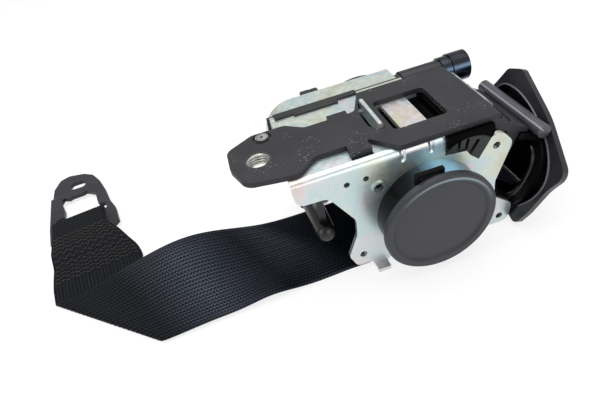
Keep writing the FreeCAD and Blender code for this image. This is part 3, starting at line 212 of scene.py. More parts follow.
def cap_moulding():
    """The spring cap: fine-grained black polyamide. Its glossy wall has a painted sky reflection on top and
    painted shade on the side away from the sky; its face has a painted highlight along the rim.
    """
    material = moulded("grained_polyamide_cap", "#222329", "#2D2E35", 0.46, 0.25, 0.35)
    tree, shader, face_tint = reopen(material)
    face_shine = shader.inputs["Roughness"].links[0].from_socket
    wall = above(tree, "Y", CAP_FACE_Y, 0.2)
    arm = arm_from(tree, (SPOOL_X, 0.0, SPOOL_Z), (1.0, 0.0, 1.0))
    reach = reach_of(tree, arm)
    facing = spread(tree, towards(tree, arm, SKY_SIDE), 10.0 * MM, 23.1 * MM)
    facing = maths(tree, "MULTIPLY", facing, spread(tree, reach, 23.5 * MM, 23.3 * MM))
    # Painted reflection and shade on the wall: sky blue on the side that faces the sky, near black away from
    # it.
    sky = ramp(tree, facing, (0.0, "#0D0E0E"), (0.60, "#141617"), (0.80, "#2C3942"), (0.93, "#5E8699"),
               (1.0, "#86B4C9"))
    # Painted highlight: a paler band along the face's rim on the sky side.
    rim = maths(tree, "MULTIPLY", spread(tree, reach, 22.1 * MM, 22.7 * MM), facing)
    painted_rim_highlight = blend(tree, rim, face_tint, colour("#77858F"))
    link(tree, blend(tree, wall, painted_rim_highlight, sky), shader, "Base Color")
    link(tree, blend(tree, wall, face_shine, grey(0.24)), shader, "Roughness")
    gloss = spread(tree, facing, 0.45, 0.9, 0.08, 0.5)
    gloss = put(tree, "ShaderNodeMix", {"data_type": "FLOAT"}, Factor=wall, A=0.5, B=gloss)
    link(tree, gloss.outputs["Result"], shader, "Specular IOR Level")
    return material


def zinc_plate():
    """Cold-rolled steel, zinc plated and yellow passivated: thin-film colour from straw to pink and cyan."""
    material, tree, shader = new_material("passivated_zinc_plate")
    place = object_place(tree)
    wash = noise(tree, place, 26.0, 3.0, Roughness=0.5, Distortion=0.9)
    film = ramp(tree, wash, (0.28, "#CDCBB2"), (0.42, "#D6DDD2"), (0.50, "#C6D9DC"), (0.57, "#DAD8DA"),
                (0.64, "#DCD0CE"), (0.74, "#D6D6BE"))
    fine = noise(tree, place, 420.0, 4.0, Roughness=0.65)
    stain = ramp(tree, fine, (0.3, grey(0.92)), (0.62, grey(1.0)))
    link(tree, blend(tree, 1.0, film, stain, "MULTIPLY"), shader, "Base Color")
    shader.inputs["Metallic"].default_value = 0.9
    link(tree, ramp(tree, fine, (0.3, grey(0.30)), (0.7, grey(0.44))), shader, "Roughness")
    rolled = noise(tree, stretched(tree, place, (60.0, 900.0, 900.0)), 1.0, 2.0)
    # Two pressed stiffening dimples cross the near bend.
    spot = put(tree, "ShaderNodeSeparateXYZ", Vector=place).outputs
    first, second = (maths(tree, "ABSOLUTE", maths(tree, "SUBTRACT", spot["X"], centre * MM))
                     for centre in DIMPLES_X)
    off = maths(tree, "MINIMUM", first, second)
    groove = spread(tree, off, 1.5 * MM, 0.2 * MM, kind="SMOOTHSTEP")
    outer = spread(tree, spot["Y"], -15.6 * MM, -17.6 * MM, kind="SMOOTHSTEP")
    upper = spread(tree, spot["Z"], -9.0 * MM, -6.6 * MM, kind="SMOOTHSTEP")
    groove = maths(tree, "MULTIPLY", maths(tree, "MULTIPLY", groove, outer), upper)
    pressed = put(tree, "ShaderNodeBump", {"invert": True}, Strength=1.0, Distance=0.0009, Height=groove,
                  Normal=relief(tree, rolled, 0.18, 0.00006))
    link(tree, pressed.outputs[0], shader, "Normal")
    return material


def plain_steel(name, low, high, rough):
    """Bare or plated steel with a turned, slightly uneven surface."""
    material, tree, shader = new_material(name)
    cloud = noise(tree, object_place(tree), 180.0, 4.0)
    link(tree, ramp(tree, cloud, (0.3, low), (0.7, high)), shader, "Base Color")
    shader.inputs["Metallic"].default_value = 1.0
    link(tree, ramp(tree, cloud, (0.3, grey(rough - 0.05)), (0.7, grey(rough + 0.07))), shader, "Roughness")
    link(tree, relief(tree, cloud, 0.12, 0.00005), shader, "Normal")
    return material


def welded_nut():
    """A zinc-plated weld nut whose barrel end took the bracket's black coat with it."""
    material = plain_steel("zinc_plated_nut", "#9A9787", "#C3BFA9", 0.30)
    tree, shader, bare = reopen(material)
    coat = above(tree, "Z", COAT_Z, 0.05)
    link(tree, blend(tree, coat, bare, colour("#29292C")), shader, "Base Color")
    link(tree, maths(tree, "SUBTRACT", 1.0, coat), shader, "Metallic")
    return material


def dipped_black(name, base, light, rough):
    """Steel with a black electro-dip coat: even satin film, fine orange peel, pale dust in places."""
    material, tree, shader = new_material(name)
    place = object_place(tree)
    cloud = noise(tree, place, 45.0, 5.0, Roughness=0.6)
    peel = noise(tree, place, 1400.0, 2.0)
    link(tree, ramp(tree, cloud, (0.3, base), (0.72, light)), shader, "Base Color")
    link(tree, ramp(tree, cloud, (0.3, grey(rough - 0.05)), (0.7, grey(rough + 0.1))), shader, "Roughness")
    shader.inputs["Specular IOR Level"].default_value = 0.3
    link(tree, relief(tree, peel, 0.25, 0.00005), shader, "Normal")
    return material


def bracket_nicks_and_bend_highlight():
    """The bracket's black coat: nicked pale in places, with a painted highlight along the bend where the
    right end turns down.
    """
    material = dipped_black("electro_dipped_bracket", "#1F1F22", "#2A2A2E", 0.42)
    tree, shader, coat = reopen(material)
    place = object_place(tree)
    bend = maths(tree, "MULTIPLY", above(tree, "X", BEND_X, 0.5), above(tree, "Z", BEND_Z, 0.6))
    bend_highlight = maths(tree, "MULTIPLY", bend, spread(tree, noise(tree, place, 500.0, 3.0), 0.28, 0.5))
    nick = spread(tree, noise(tree, stretched(tree, place, (700.0, 1500.0, 1500.0)), 1.0, 2.0), 0.64, 0.7)
    where = spread(tree, noise(tree, place, 70.0, 1.0), 0.54, 0.64, 0.0, 0.75)
    nicks_and_bend_highlight = maths(tree, "MAXIMUM", bend_highlight, maths(tree, "MULTIPLY", nick, where))
    # One pale colour for the nicks and for the patchy painted highlight along the bend.
    link(tree, blend(tree, nicks_and_bend_highlight, coat, colour("#A3A7A6")), shader, "Base Color")
    return material


def peened_rivet():
    """The corner rivet: a bright rolled rim in the steel's own colour, painted shade in the dimple that the
    peening tool left, and a darker ring near the head's edge.
    """
    material = plain_steel("peened_rivet_steel", "#B4B5B2", "#DADAD6", 0.3)
    tree, shader, bare = reopen(material)
    reach = reach_of(tree, arm_from(tree, RIVET_CENTRE, (1.0, 1.0, 0.0)))
    # Painted shade in the central dimple and a darker ring near the edge; elsewhere the steel's own colour.
    dimple_shade_and_ring = ramp(tree, spread(tree, reach, 0.0, 2.8 * MM), (0.0, "#3A3A3C"), (0.2, "#55565A"),
                 (0.3, "#FFFFFF"), (0.74, "#F2F2F0"), (0.82, "#7C7D7E"), (0.92, "#FFFFFF"))
    link(tree, blend(tree, 1.0, bare, dimple_shade_and_ring, "MULTIPLY"), shader, "Base Color")
    return material


def blackened_cap():
    """The gas generator: blackened steel with a painted sky reflection, a blue band low along its side."""
    material = plain_steel("blackened_generator_steel", "#2B2C30", "#45464D", 0.22)
    tree, shader, bare = reopen(material)
    place = put(tree, "ShaderNodeSeparateXYZ", Vector=object_place(tree))
    level = spread(tree, place.outputs["Z"], -14.0 * MM, 1.0 * MM)
    # Painted reflection: bluer low on the side, greyer towards the top.
    band = ramp(tree, level, (0.0, "#2A3644"), (0.18, "#38485A"), (0.36, "#4A596E"), (0.50, "#42484F"),
                (0.62, "#3C3D42"), (1.0, "#36373B"))
    link(tree, blend(tree, 0.8, bare, band), shader, "Base Color")
    return material


def bar_with_painted_highlight():
    """The guide's bar: satin moulding with one painted highlight, a bright line along it."""
    material = moulded("guide_bar_painted_highlight", "#3F3F45", "#4E4E56", 0.26, 0.5, 0.1)
    tree, shader, base = reopen(material)
    axis_x, axis_z = guide_point(BAR_OUT, BAR_UP)
    arm = arm_from(tree, (axis_x, 0.0, axis_z), (1.0, 0.0, 1.0))
    arm = put(tree, "ShaderNodeVectorMath", {"operation": "NORMALIZE"}, i0=arm).outputs[0]
    # Painted highlight: a narrow bright line on one side of the bar.
    line = spread(tree, towards(tree, arm, BAR_HIGHLIGHT_SIDE), 0.987, 0.998)
    link(tree, blend(tree, line, base, colour("#8A8A92")), shader, "Base Color")
    return material


def inlet_moulding():
    """The inlet block: black polyamide, with painted shade in the arch under the bracket: near black and
    without shine.
    """
    material = moulded("moulded_inlet_black", "#141517", "#1E1F22", 0.5, 0.3, 0.3)
    tree, shader, base = reopen(material)
    reach = reach_of(tree, arm_from(tree, ARCH_CENTRE, (1.0, 0.0, 1.35)))
    # Painted shade: near black and dull inside the arch.
    arch = spread(tree, reach, 11.6 * MM, 12.2 * MM)
    link(tree, blend(tree, arch, base, colour("#020202")), shader, "Base Color")
    link(tree, spread(tree, arch, 0.0, 1.0, 0.5, 0.03), shader, "Specular IOR Level")
    return material


def webbing_weave():
    """Polyester seat webbing: panels of twill ribs that run along the strap, satin on the high yarns in two
    painted sheen bands.
    """
    material, tree, shader = new_material("woven_polyester_webbing")
    # The UV map holds millimetres: X from the strap's near edge, Y along it from where it meets the floor.
    chart = put(tree, "ShaderNodeUVMap", {"uv_map": "strap"}).outputs["UV"]
    parts = put(tree, "ShaderNodeSeparateXYZ", Vector=chart).outputs
    across, along = parts["X"], parts["Y"]
    slant = maths(tree, "ADD", maths(tree, "MULTIPLY", maths(tree, "PINGPONG", across, WARP), 0.95), along)
    twill = maths(tree, "SINE", maths(tree, "MULTIPLY", slant, 2 * math.pi / WEFT))
    rib = maths(tree, "SINE", maths(tree, "MULTIPLY", across, 2 * math.pi / WARP))
    yarn = noise(tree, stretched(tree, chart, (2.2, 0.35, 1.0)), 1.0, 3.0)
    height = maths(tree, "ADD", maths(tree, "MULTIPLY", twill, 0.5), maths(tree, "MULTIPLY", rib, 0.5))
    height = maths(tree, "ADD", height, maths(tree, "MULTIPLY", yarn, 0.3))
    lift = spread(tree, height, -0.8, 1.4)
    # The dye is blue-black; along the tail the base colour loses its blue.
    dye = ramp(tree, lift, (0.0, "#020304"), (0.5, "#07090F"), (1.0, "#131824"))
    fade = spread(tree, along, 66.0, 112.0, 1.0, 0.1)
    dye = put(tree, "ShaderNodeHueSaturation", Saturation=fade, Color=dye)
    link(tree, dye.outputs[0], shader, "Base Color")
    shader.inputs["Roughness"].default_value = 0.46
    # Painted sheen: two satin bands cross the strap aslant. Painted shade takes the shine off the corner
    # that lies behind the retractor.
    slope = maths(tree, "SUBTRACT", along, maths(tree, "MULTIPLY", across, 0.5))
    sheen = ramp(tree, spread(tree, slope, -41.75, 118.25), (0.0, grey(0.08)), (0.20, grey(0.22)),
                 (0.31, grey(0.60)), (0.37, grey(0.38)), (0.43, grey(0.10)), (0.52, grey(0.36)),
                 (0.63, grey(0.80)), (0.72, grey(0.46)), (0.80, grey(0.08)), (1.0, grey(0.05)))
    shade = spread(tree, maths(tree, "SUBTRACT", across, along), 7.0, 18.0)
    sheen = maths(tree, "MULTIPLY", sheen, maths(tree, "SUBTRACT", 1.0, shade))
    crown = maths(tree, "MULTIPLY", sheen, spread(tree, lift, 0.1, 0.85))
    link(tree, spread(tree, crown, 0.0, 1.0, 0.06, 1.0), shader, "Specular IOR Level")
    shader.inputs["Sheen Weight"].default_value = 0.06
    shader.inputs["Sheen Roughness"].default_value = 0.4
    shader.inputs["Sheen Tint"].default_value = colour("#8E9BB4")
    shader.inputs["Specular Tint"].default_value = colour("#D8E4FF")
    link(tree, relief(tree, height, 0.6, 0.00018), shader, "Normal")
    return material


CAP = cap_moulding()
CASE = moulded("moulded_polyamide_black", "#101113", "#1A1B1E", 0.46, 0.3, 0.3)
TRIM = moulded("moulded_trim_black", "#1E1E22", "#2A2A2F", 0.30, 0.3, 0.2)
GLOSSY = moulded("acetal_guide_black", "#060607", "#0D0D0F", 0.25, 0.5, 0.12)
GUARD = moulded("acetal_guard_black", "#030303", "#08080A", 0.3, 0.5, 0.08)
# A paler copy of the trim's plastic, for the painted highlight on the bezel's bead.
RIM = moulded("bezel_bead_painted_highlight", "#4A4A50", "#5C5C63", 0.22, 0.4, 0.1)
BAR = bar_with_painted_highlight()
INLET = inlet_moulding()
ZINC = zinc_plate()
NUT_ZINC = welded_nut()
BRIGHT = plain_steel("bright_rivet_steel", "#A9A9A6", "#D0D0CC", 0.28)
GENERATOR = blackened_cap()
RIVET = peened_rivet()
THREAD = moulded("polyester_stitching", "#08080A", "#0E0E10", 0.6, 0.2, 0.4)
MACHINED = plain_steel("machined_steel", "#77787A", "#9A9B9D", 0.34)
BLUED = plain_steel("blued_spring_steel", "#2C3140", "#4A5064", 0.3)
CAST = plain_steel("die_cast_alloy", "#A2A3A6", "#BDBEC0", 0.45)
BRACKET = bracket_nicks_and_bend_highlight()
ANCHOR = dipped_black("electro_dipped_anchor", "#202025", "#2D2D33", 0.36)
TUBE = dipped_black("black_coated_tube", "#1B1C20", "#292A30", 0.33)
WEBBING = webbing_weave()

DRESS = {
    "frame": ZINC, "pretensioner_housing": ZINC, "mounting_bracket": BRACKET, "anchor_plate": ANCHOR,
    "weld_nut": NUT_ZINC, "corner_rivet": RIVET, "spring_cover": CAP, "spring_base": CASE,
    "return_spring": BLUED, "mechanism_tray": CASE, "mechanism_cover": CASE, "pretensioner_tube": TUBE,
    "gas_generator": GENERATOR, "igniter_socket": CASE, "guide_bezel": TRIM, "guide_funnel": GLOSSY,
    "guide_bar": BAR, "guide_arm": TRIM, "webbing_inlet": INLET, "edge_guard": GUARD,
    "sensor_cup": CASE, "cover_bush": CASE, "spool": CAST, "torsion_bar": MACHINED, "spring_arbor": CASE,
    "locking_head": CAST, "lock_gear": CASE, "drive_wheel": CAST, "lock_pawl": MACHINED,
    "inertia_disc": MACHINED, "drive_piston": CASE, "drive_balls": MACHINED, "sensor_lever": CASE,
    "sensor_ball": MACHINED,
}
for node_name, finish in DRESS.items():
    for slot in NODES[node_name].material_slots:
        slot.material = finish


def add_object(name, data):
    """A named object in the scene."""
    item = bpy.data.objects.new(name, data)
    bpy.context.scene.collection.objects.link(item)
    return item


def mesh_object(name, build, finish):
    """A named object from a bmesh, normals outward, with one finish."""
    bmesh.ops.recalc_face_normals(build, faces=build.faces)
    mesh = bpy.data.meshes.new(name)
    build.to_mesh(mesh)
    build.free()
    mesh.materials.append(finish)
    return add_object(name, mesh)


def skin(build, rings, closed, is_smooth):
    """Faces between neighbouring rings of vertices; an open run gets a cap at each end."""
    for a, b in zip(rings, rings[1:] + rings[:1] if closed else rings[1:]):
        for j in range(len(a)):
            following = (j + 1) % len(a)
            face = build.faces.new((a[j], a[following], b[following], b[j]))
            face.smooth = is_smooth
    if not closed:
        build.faces.new(rings[0])
        build.faces.new(list(reversed(rings[-1])))


def smooth(value):
    """An eased step from 0 to 1."""
    value = min(1.0, max(0.0, value))
    return value * value * (3 - 2 * value)


def bent_line(points, radii, step):
    """Points along straight runs joined by arcs, in X and Z."""
    run = [Vector(p) for p in points]
    line = [run[0]]
    arc_steps = 10
    for before, corner, after, radius in zip(run, run[1:], run[2:], radii):
        come, go = (corner - before).normalized(), (after - corner).normalized()
        half = come.angle(go) / 2
        cut = radius * math.tan(half)
        centre = corner + (go - come).normalized() * (radius / math.cos(half))
        entry, leave = corner - come * cut, corner + go * cut
        for i in range(arc_steps + 1):
            arm = (entry - centre).lerp(leave - centre, i / arc_steps).normalized() * radius
            line.append(centre + arm)
    line.append(run[-1])
    filled = [line[0]]
    for a, b in zip(line, line[1:]):
        pieces = max(1, int((b - a).length / step))
        filled += [a.lerp(b, (i + 1) / pieces) for i in range(pieces)]
    return filled


# The laid strap's own layout, in millimetres. LAID is the height of its middle where it lies flat on the
# floor; the tail's runs are counted from the fold's near end. The rises are heights of the laid shape.
LAID = BELT_GAUGE / 2
COLUMNS = 24
FOLD_NEAR = Vector((-62.8, -20.5))
FOLD_FAR = Vector((-115.6, 24.0))
FOLD_LINE = (FOLD_FAR - FOLD_NEAR).normalized()
FOLD_OUT = Vector((-FOLD_LINE.y, FOLD_LINE.x))
STRAP_START, STRAP_EDGE = 25.0, -16.2
STRAP_TURN = math.atan2(FOLD_NEAR.y - STRAP_EDGE, FOLD_NEAR.x - STRAP_START)
STRAP_LIMIT = 260
TAIL_TURN = math.radians(97.0)
TAIL_AXIS = Vector((math.cos(TAIL_TURN), math.sin(TAIL_TURN)))
TAIL_SIDE = Vector((TAIL_AXIS.y, -TAIL_AXIS.x))
TAIL_START, TAIL_END = 51, 62
LOOP_END = 110.5
LOOP_RISE = 5.5
ARCH_RISE, WAVE_RISE, CURL_RISE, HILL_RISE = 11.0, 0.9, 2.4, 1.5


def belt_surface(along, across):
    """Where a point of the laid strap lies: along from the retractor, across from the near edge."""
    go = Vector((math.cos(STRAP_TURN), math.sin(STRAP_TURN)))
    side = Vector((go.y, -go.x))
    flat = Vector((STRAP_START, STRAP_EDGE)) + go * along + side * across
    beyond = (flat - FOLD_NEAR).dot(FOLD_OUT)
    share = across / BELT_WIDTH
    # A broad arch under the far edge, a slow wave, a curl of the near edge and a low hill up to the fold.
    crest = math.exp(-((flat.x + 50) / 34) ** 2)
    arch = ARCH_RISE * crest * smooth(share * 1.15 - 0.1) ** 1.3
    near = smooth(-beyond / 22)
    wave = WAVE_RISE * smooth((along - 12) / 30) * near * (0.5 + 0.5 * math.sin(along / 9.5 + 2.4 * share))
    curl = CURL_RISE * math.exp(-((along - 38) / 13) ** 2) * smooth(1 - share * 2.2)
    top = LAID + HILL_RISE * smooth(along / 70) + arch * near + wave + curl
    if beyond <= 0:
        return Vector((flat.x, flat.y, FLOOR + top))
    # Past the fold's line the strap turns over in a half circle and runs back flat.
    radius = (top - LAID) / 2
    turn = beyond / radius
    if turn < math.pi:
        base = flat - FOLD_OUT * beyond
        spot = base + FOLD_OUT * (radius * math.sin(turn))
        return Vector((spot.x, spot.y, FLOOR + LAID + radius + radius * math.cos(turn)))
    past = beyond - math.pi * radius
    spot = flat - FOLD_OUT * (beyond + past)
    return Vector((spot.x, spot.y, FLOOR + LAID))


def tail_height(run):
    """Height of the strap's middle above the floor along the tail, from the fold to the loop."""
    step = 1.3
    return LAID + step * smooth((run - 52) / 9) + (LOOP_RISE - step) * smooth((run - 74) / 11)


def gather(run, across):
    """The tail narrows towards the anchor's slot; across is from its left edge."""
    ease = smooth((run - 62) / 42)
    return across * (1 - 0.36 * ease) + 2.0 * ease


def on_floor(spot):
    """A point's place on the floor, from the fold's near end."""
    return Vector((spot.x, spot.y)) - FOLD_NEAR


def led_path():
    """The way of the strap's middle from the roll round the guide's lip to the floor, in X and Z."""
    reach = ROLL_RADIUS + 0.3 + BELT_GAUGE / 2
    lip = guide_point(12.0, 14.5)
    run = Vector((lip[0] - SPOOL_X, lip[1] - SPOOL_Z))
    leave = math.atan2(run.y, run.x) + math.acos(reach / run.length)
    start = (SPOOL_X + reach * math.cos(leave), SPOOL_Z + reach * math.sin(leave))
    low_out = 3.6
    low_up = (BELT_GAUGE / 2 + low_out * math.sin(GUIDE_LEAN)) / math.cos(GUIDE_LEAN)
    ground = (STRAP_START, FLOOR + BELT_GAUGE / 2)
    return bent_line([start, lip, guide_point(low_out, low_up), ground], [5.0, 3.0], 3.0)


def straight_row(x, z, columns):
    """A row of points straight across the strap at one X and Z."""
    edge = BELT_MIDDLE - BELT_WIDTH / 2
    return [Vector((x, edge + BELT_WIDTH * j / columns, z)) for j in range(columns + 1)]


def laid_rows():
    """Rows across the laid strap, past the fold, up to the first that lies flat on the tail's way."""
    rows = []
    along, is_tail = 0.0, False
    while not is_tail and along <= STRAP_LIMIT:
        along += 1.0
        row = [belt_surface(along, BELT_WIDTH * j / COLUMNS) for j in range(COLUMNS + 1)]
        rows.append(row)
        is_flat = all(p.z < FLOOR + LAID + 0.01 for p in row)
        is_tail = is_flat and min(on_floor(p).dot(TAIL_AXIS) for p in row) > TAIL_START
    return rows


def tail_profile(start):
    """Runs and heights along the tail: over its own end, round the anchor's bar and back below."""
    profile = []
    travel = start
    while travel < LOOP_END:
        travel = min(LOOP_END, travel + 1.2)
        profile.append((travel, tail_height(travel)))
    turns, radius = 12, LOOP_RISE / 2
    for i in range(1, turns + 1):
        angle = math.pi * i / turns
        profile.append((LOOP_END + radius * math.sin(angle), LAID + radius * (1 + math.cos(angle))))
    travel = LOOP_END
    while travel > TAIL_END:
        travel -= 1.5
        profile.append((travel, LAID))
    return profile


def sheet_mesh(name, rows, before=0.0):
    """A strap of real thickness from rows of points; before is its run ahead of the UV map's zero."""
    mesh = bpy.data.meshes.new(name)
    build = bmesh.new()
    chart = build.loops.layers.uv.new("strap")
    grid = [[build.verts.new(p * MM) for p in row] for row in rows]
    columns = len(rows[0]) - 1
    middle = len(rows[0]) // 2
    distance = [-before]
    for a, b in zip(rows, rows[1:]):
        distance.append(distance[-1] + (b[middle] - a[middle]).length)
    for i in range(len(rows) - 1):
        for j in range(columns):
            corners = ((i, j), (i + 1, j), (i + 1, j + 1), (i, j + 1))
            face = build.faces.new([grid[u][v] for u, v in corners])
            face.smooth = True
            for loop, (u, v) in zip(face.loops, corners):
                loop[chart].uv = (BELT_WIDTH * v / columns, distance[u])
    build.to_mesh(mesh)
    build.free()
    strap = add_object(name, mesh)
    mesh.materials.append(WEBBING)
    wall = strap.modifiers.new("wall", "SOLIDIFY")
    wall.thickness = BELT_GAUGE * MM
    wall.offset = 0.0
    return strap, distance[-1] + before


def make_belt():
    """The drawn-out webbing as one strap: roll, guide, floor, fold, tail and stitched loop."""
    path = led_path()
    laid = laid_rows()
    rows = [straight_row(spot.x, spot.y, COLUMNS) for spot in path] + laid
    last = [on_floor(p) for p in laid[-1]]
    start = sum(spot.dot(TAIL_AXIS) for spot in last) / len(last)
    left = min(spot.dot(TAIL_SIDE) for spot in last)
    for travel, height in tail_profile(start):
        row = []
        for j in range(COLUMNS + 1):
            wide = left + gather(travel, BELT_WIDTH * (1 - j / COLUMNS))
            spot = FOLD_NEAR + TAIL_AXIS * travel + TAIL_SIDE * wide
            row.append(Vector((spot.x, spot.y, FLOOR + height)))
        rows.append(row)
    led_length = sum((b - a).length for a, b in zip(path, path[1:]))
    strap, length = sheet_mesh("belt_webbing", rows, led_length)
    return strap, length, left


belt, belt_length, tail_left = make_belt()
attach(belt, "retractor")
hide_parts("webbing_outlet", "webbing_strap", "webbing_tail")


# The lockstitch across the tail, in millimetres.
STITCH_ROWS, ROW_STITCHES = 11, 17
STITCH_START, STITCH_PITCH, STITCH_ZIGZAG = 64.0, 3.1, 0.45
STITCH_LENGTH, THREAD_RADIUS, THREAD_LIFT = 3.1, 0.42, 0.08


def stitch_tree():
    """Geometry Nodes: one lying thread at each point, turned along its way attribute."""
    tree = bpy.data.node_groups.new("stitch_rows", "GeometryNodeTree")
    face = tree.interface
    face.new_socket("Points", in_out="INPUT", socket_type="NodeSocketGeometry")
    for name, value in (("Thread Radius", THREAD_RADIUS), ("Stitch Length", STITCH_LENGTH)):
        face.new_socket(name, in_out="INPUT", socket_type="NodeSocketFloat").default_value = value * MM
    face.new_socket("Mesh", in_out="OUTPUT", socket_type="NodeSocketGeometry")
    given = put(tree, "NodeGroupInput")
    drop = put(tree, "GeometryNodeMeshUVSphere", Segments=8, Rings=6, Radius=1.0)
    half = put(tree, "ShaderNodeMath", {"operation": "DIVIDE"}, i0=given.outputs["Stitch Length"], i1=2.0)
    size = put(tree, "ShaderNodeCombineXYZ", X=half.outputs[0], Y=given.outputs["Thread Radius"],
               Z=given.outputs["Thread Radius"])
    jitter = put(tree, "FunctionNodeRandomValue", {"data_type": "FLOAT"}, i2=0.9, i3=1.08, Seed=7)
    size = put(tree, "ShaderNodeVectorMath", {"operation": "SCALE"}, i0=size.outputs[0],
               Scale=jitter.outputs[1])
    way = put(tree, "GeometryNodeInputNamedAttribute", {"data_type": "FLOAT_VECTOR"}, Name="way")
    turn = put(tree, "FunctionNodeAlignRotationToVector", {"axis": "X"}, Vector=way.outputs[0])
    dots = put(tree, "GeometryNodeMeshToPoints", Mesh=given.outputs["Points"])
    laid = put(tree, "GeometryNodeInstanceOnPoints", Points=dots.outputs[0], Instance=drop.outputs["Mesh"],
               Rotation=turn.outputs[0], Scale=size.outputs[0])
    real = put(tree, "GeometryNodeRealizeInstances", Geometry=laid.outputs[0])
    dressed = put(tree, "GeometryNodeSetMaterial", Geometry=real.outputs[0], Material=THREAD)
    put(tree, "NodeGroupOutput", Mesh=dressed.outputs[0])
    return tree


def make_stitches(left):
    """The rows of lockstitch across the tail that close the loop round the anchor's bar."""
    mesh = bpy.data.meshes.new("stitch_points")
    spots, ways = [], []
    for row in range(STITCH_ROWS):
        for i in range(ROW_STITCHES):
            swing = 1 if i % 2 else -1
            here = STITCH_START + STITCH_PITCH * row + STITCH_ZIGZAG * swing
            wide = left + gather(here, BELT_WIDTH * (i + 1) / (ROW_STITCHES + 1))
            spot = FOLD_NEAR + TAIL_AXIS * here + TAIL_SIDE * wide
            level = FLOOR + tail_height(here) + BELT_GAUGE / 2 + THREAD_LIFT
            spots.append((spot.x * MM, spot.y * MM, level * MM))
            slope = tail_height(here + 0.5) - tail_height(here - 0.5)
            flat = TAIL_SIDE + TAIL_AXIS * (0.35 * swing)
            ways.append(Vector((flat.x, flat.y, slope * flat.dot(TAIL_AXIS))).normalized())
    mesh.from_pydata(spots, [], [])
    held = mesh.attributes.new("way", "FLOAT_VECTOR", "POINT")
    for item, way in zip(held.data, ways):
        item.vector = way
    points = add_object("stitch_points", mesh)
    rule = points.modifiers.new("stitches", "NODES")
    rule.node_group = stitch_tree()
    for item in rule.node_group.interface.items_tree:
        if item.name == "Stitch Length" and item.in_out == "INPUT":
            rule[item.identifier] = STITCH_LENGTH * MM
    plain = bpy.data.meshes.new_from_object(points.evaluated_get(bpy.context.evaluated_depsgraph_get()))
    plain.name = "tail_stitches"
    points.modifiers.clear()
    bpy.data.objects.remove(points)
    return add_object("tail_stitches", plain)


stitches = make_stitches(tail_left)
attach(stitches, "retractor")


def make_roll():
    """The wound webbing: a spiral of layers, its edges showing between the spool's flanges."""
    rows = []
    turns, steps, core, gauge = 7, 56, 11.7, 1.05
    for i in range(turns * steps + 1):
        angle = -2 * math.pi * i / steps + math.radians(51)
        radius = ROLL_RADIUS - BELT_GAUGE / 2 - (ROLL_RADIUS - core) * i / (turns * steps)
        rows.append(straight_row(SPOOL_X + radius * math.cos(angle), SPOOL_Z + radius * math.sin(angle), 6))
    roll, length = sheet_mesh("wound_webbing", rows)
    roll.modifiers["wall"].thickness = gauge * MM
    return roll, length


roll, roll_length = make_roll()
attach(roll, "spool")
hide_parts("webbing_roll")


def make_thread():
    """The mounting thread: a helical ridge, 20 turns to the inch, on the nut's bore."""
    pitch, root, crest = 1.27, 4.93, 4.32
    root_half, crest_half = 0.56, 0.08
    section = ((root, -root_half), (crest, -crest_half), (crest, crest_half), (root, root_half))
    first, last = -0.75, -5.2
    steps = 48
    build = bmesh.new()
    rings = []
    for i in range(int((first - last) / pitch * steps) + 1):
        turned = 2 * math.pi * i / steps
        level = first - pitch * i / steps
        ring = []
        for radius, lift in section:
            spot = Vector((radius * math.cos(turned), radius * math.sin(turned), level + lift))
            ring.append(build.verts.new(spot * MM))
        rings.append(ring)
    skin(build, rings, False, False)
    return mesh_object("mounting_thread_ridge", build, BRIGHT)


thread = make_thread()
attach(thread, "retractor")


# Outlines in the guide's own Y and height, in millimetres.
MOUTH = [(-10.1, 11.5), (31.5, 11.5), (31.5, 21), (26, 38), (-9.6, 38), (-17.6, 33), (-17.6, 16)]
LIP_LINE = [(-12, 9.6), (32.6, 9.6), (33.2, 21), (27.4, 39.6), (-10.4, 39.6), (-19.2, 34), (-19.2, 15)]
RIM_LINE = [(-21.4, 10), (-27, 18), (-28.6, 29), (-21.4, 40.4), (-7.2, 48.8), (8, 53.6), (19.4, 53.4),
            (24, 49.3), (30.1, 37.2), (34.2, 22), (34.2, 10)]
BOWL_STEPS = [(3.9, 0.0), (4.5, 0.30), (5.0, 0.65), (5.3, 1.0)]
BOWL_WALL = 0.8
BEAD_SIDES = 10


def throat_spot(out, across, up):
    """A point of the guide's own frame in the model, in metres."""
    x, z = guide_point(out, up)
    return Vector((x, across, z)) * MM


def rounded(points, closed):
    """A curve through a run of flat points, its corners cut three times."""
    run = [Vector(p) for p in points]
    for _ in range(3):
        fresh = [] if closed else [run[0]]
        for a, b in zip(run, run[1:] + run[:1] if closed else run[1:]):
            fresh += [a.lerp(b, 0.25), a.lerp(b, 0.75)]
        run = fresh if closed else fresh + [run[-1]]
    return run


def bead(name, outline, closed, out, radius, finish):
    """A round bead laid along an outline of the guide's own Y and height, at one distance out."""
    build = bmesh.new()
    run = rounded(outline, closed)
    rings = []
    for i, here in enumerate(run):
        before = run[i - 1] if closed or i else here
        after = run[(i + 1) % len(run)] if closed or i < len(run) - 1 else here
        along = (after - before).normalized()
        side = Vector((along.y, -along.x))
        ring = []
        for j in range(BEAD_SIDES):
            turned = 2 * math.pi * j / BEAD_SIDES
            flat = here + side * (radius * math.cos(turned))
            ring.append(build.verts.new(throat_spot(out + radius * math.sin(turned), flat.x, flat.y)))
        rings.append(ring)
    skin(build, rings, closed, True)
    return mesh_object(name, build, finish)


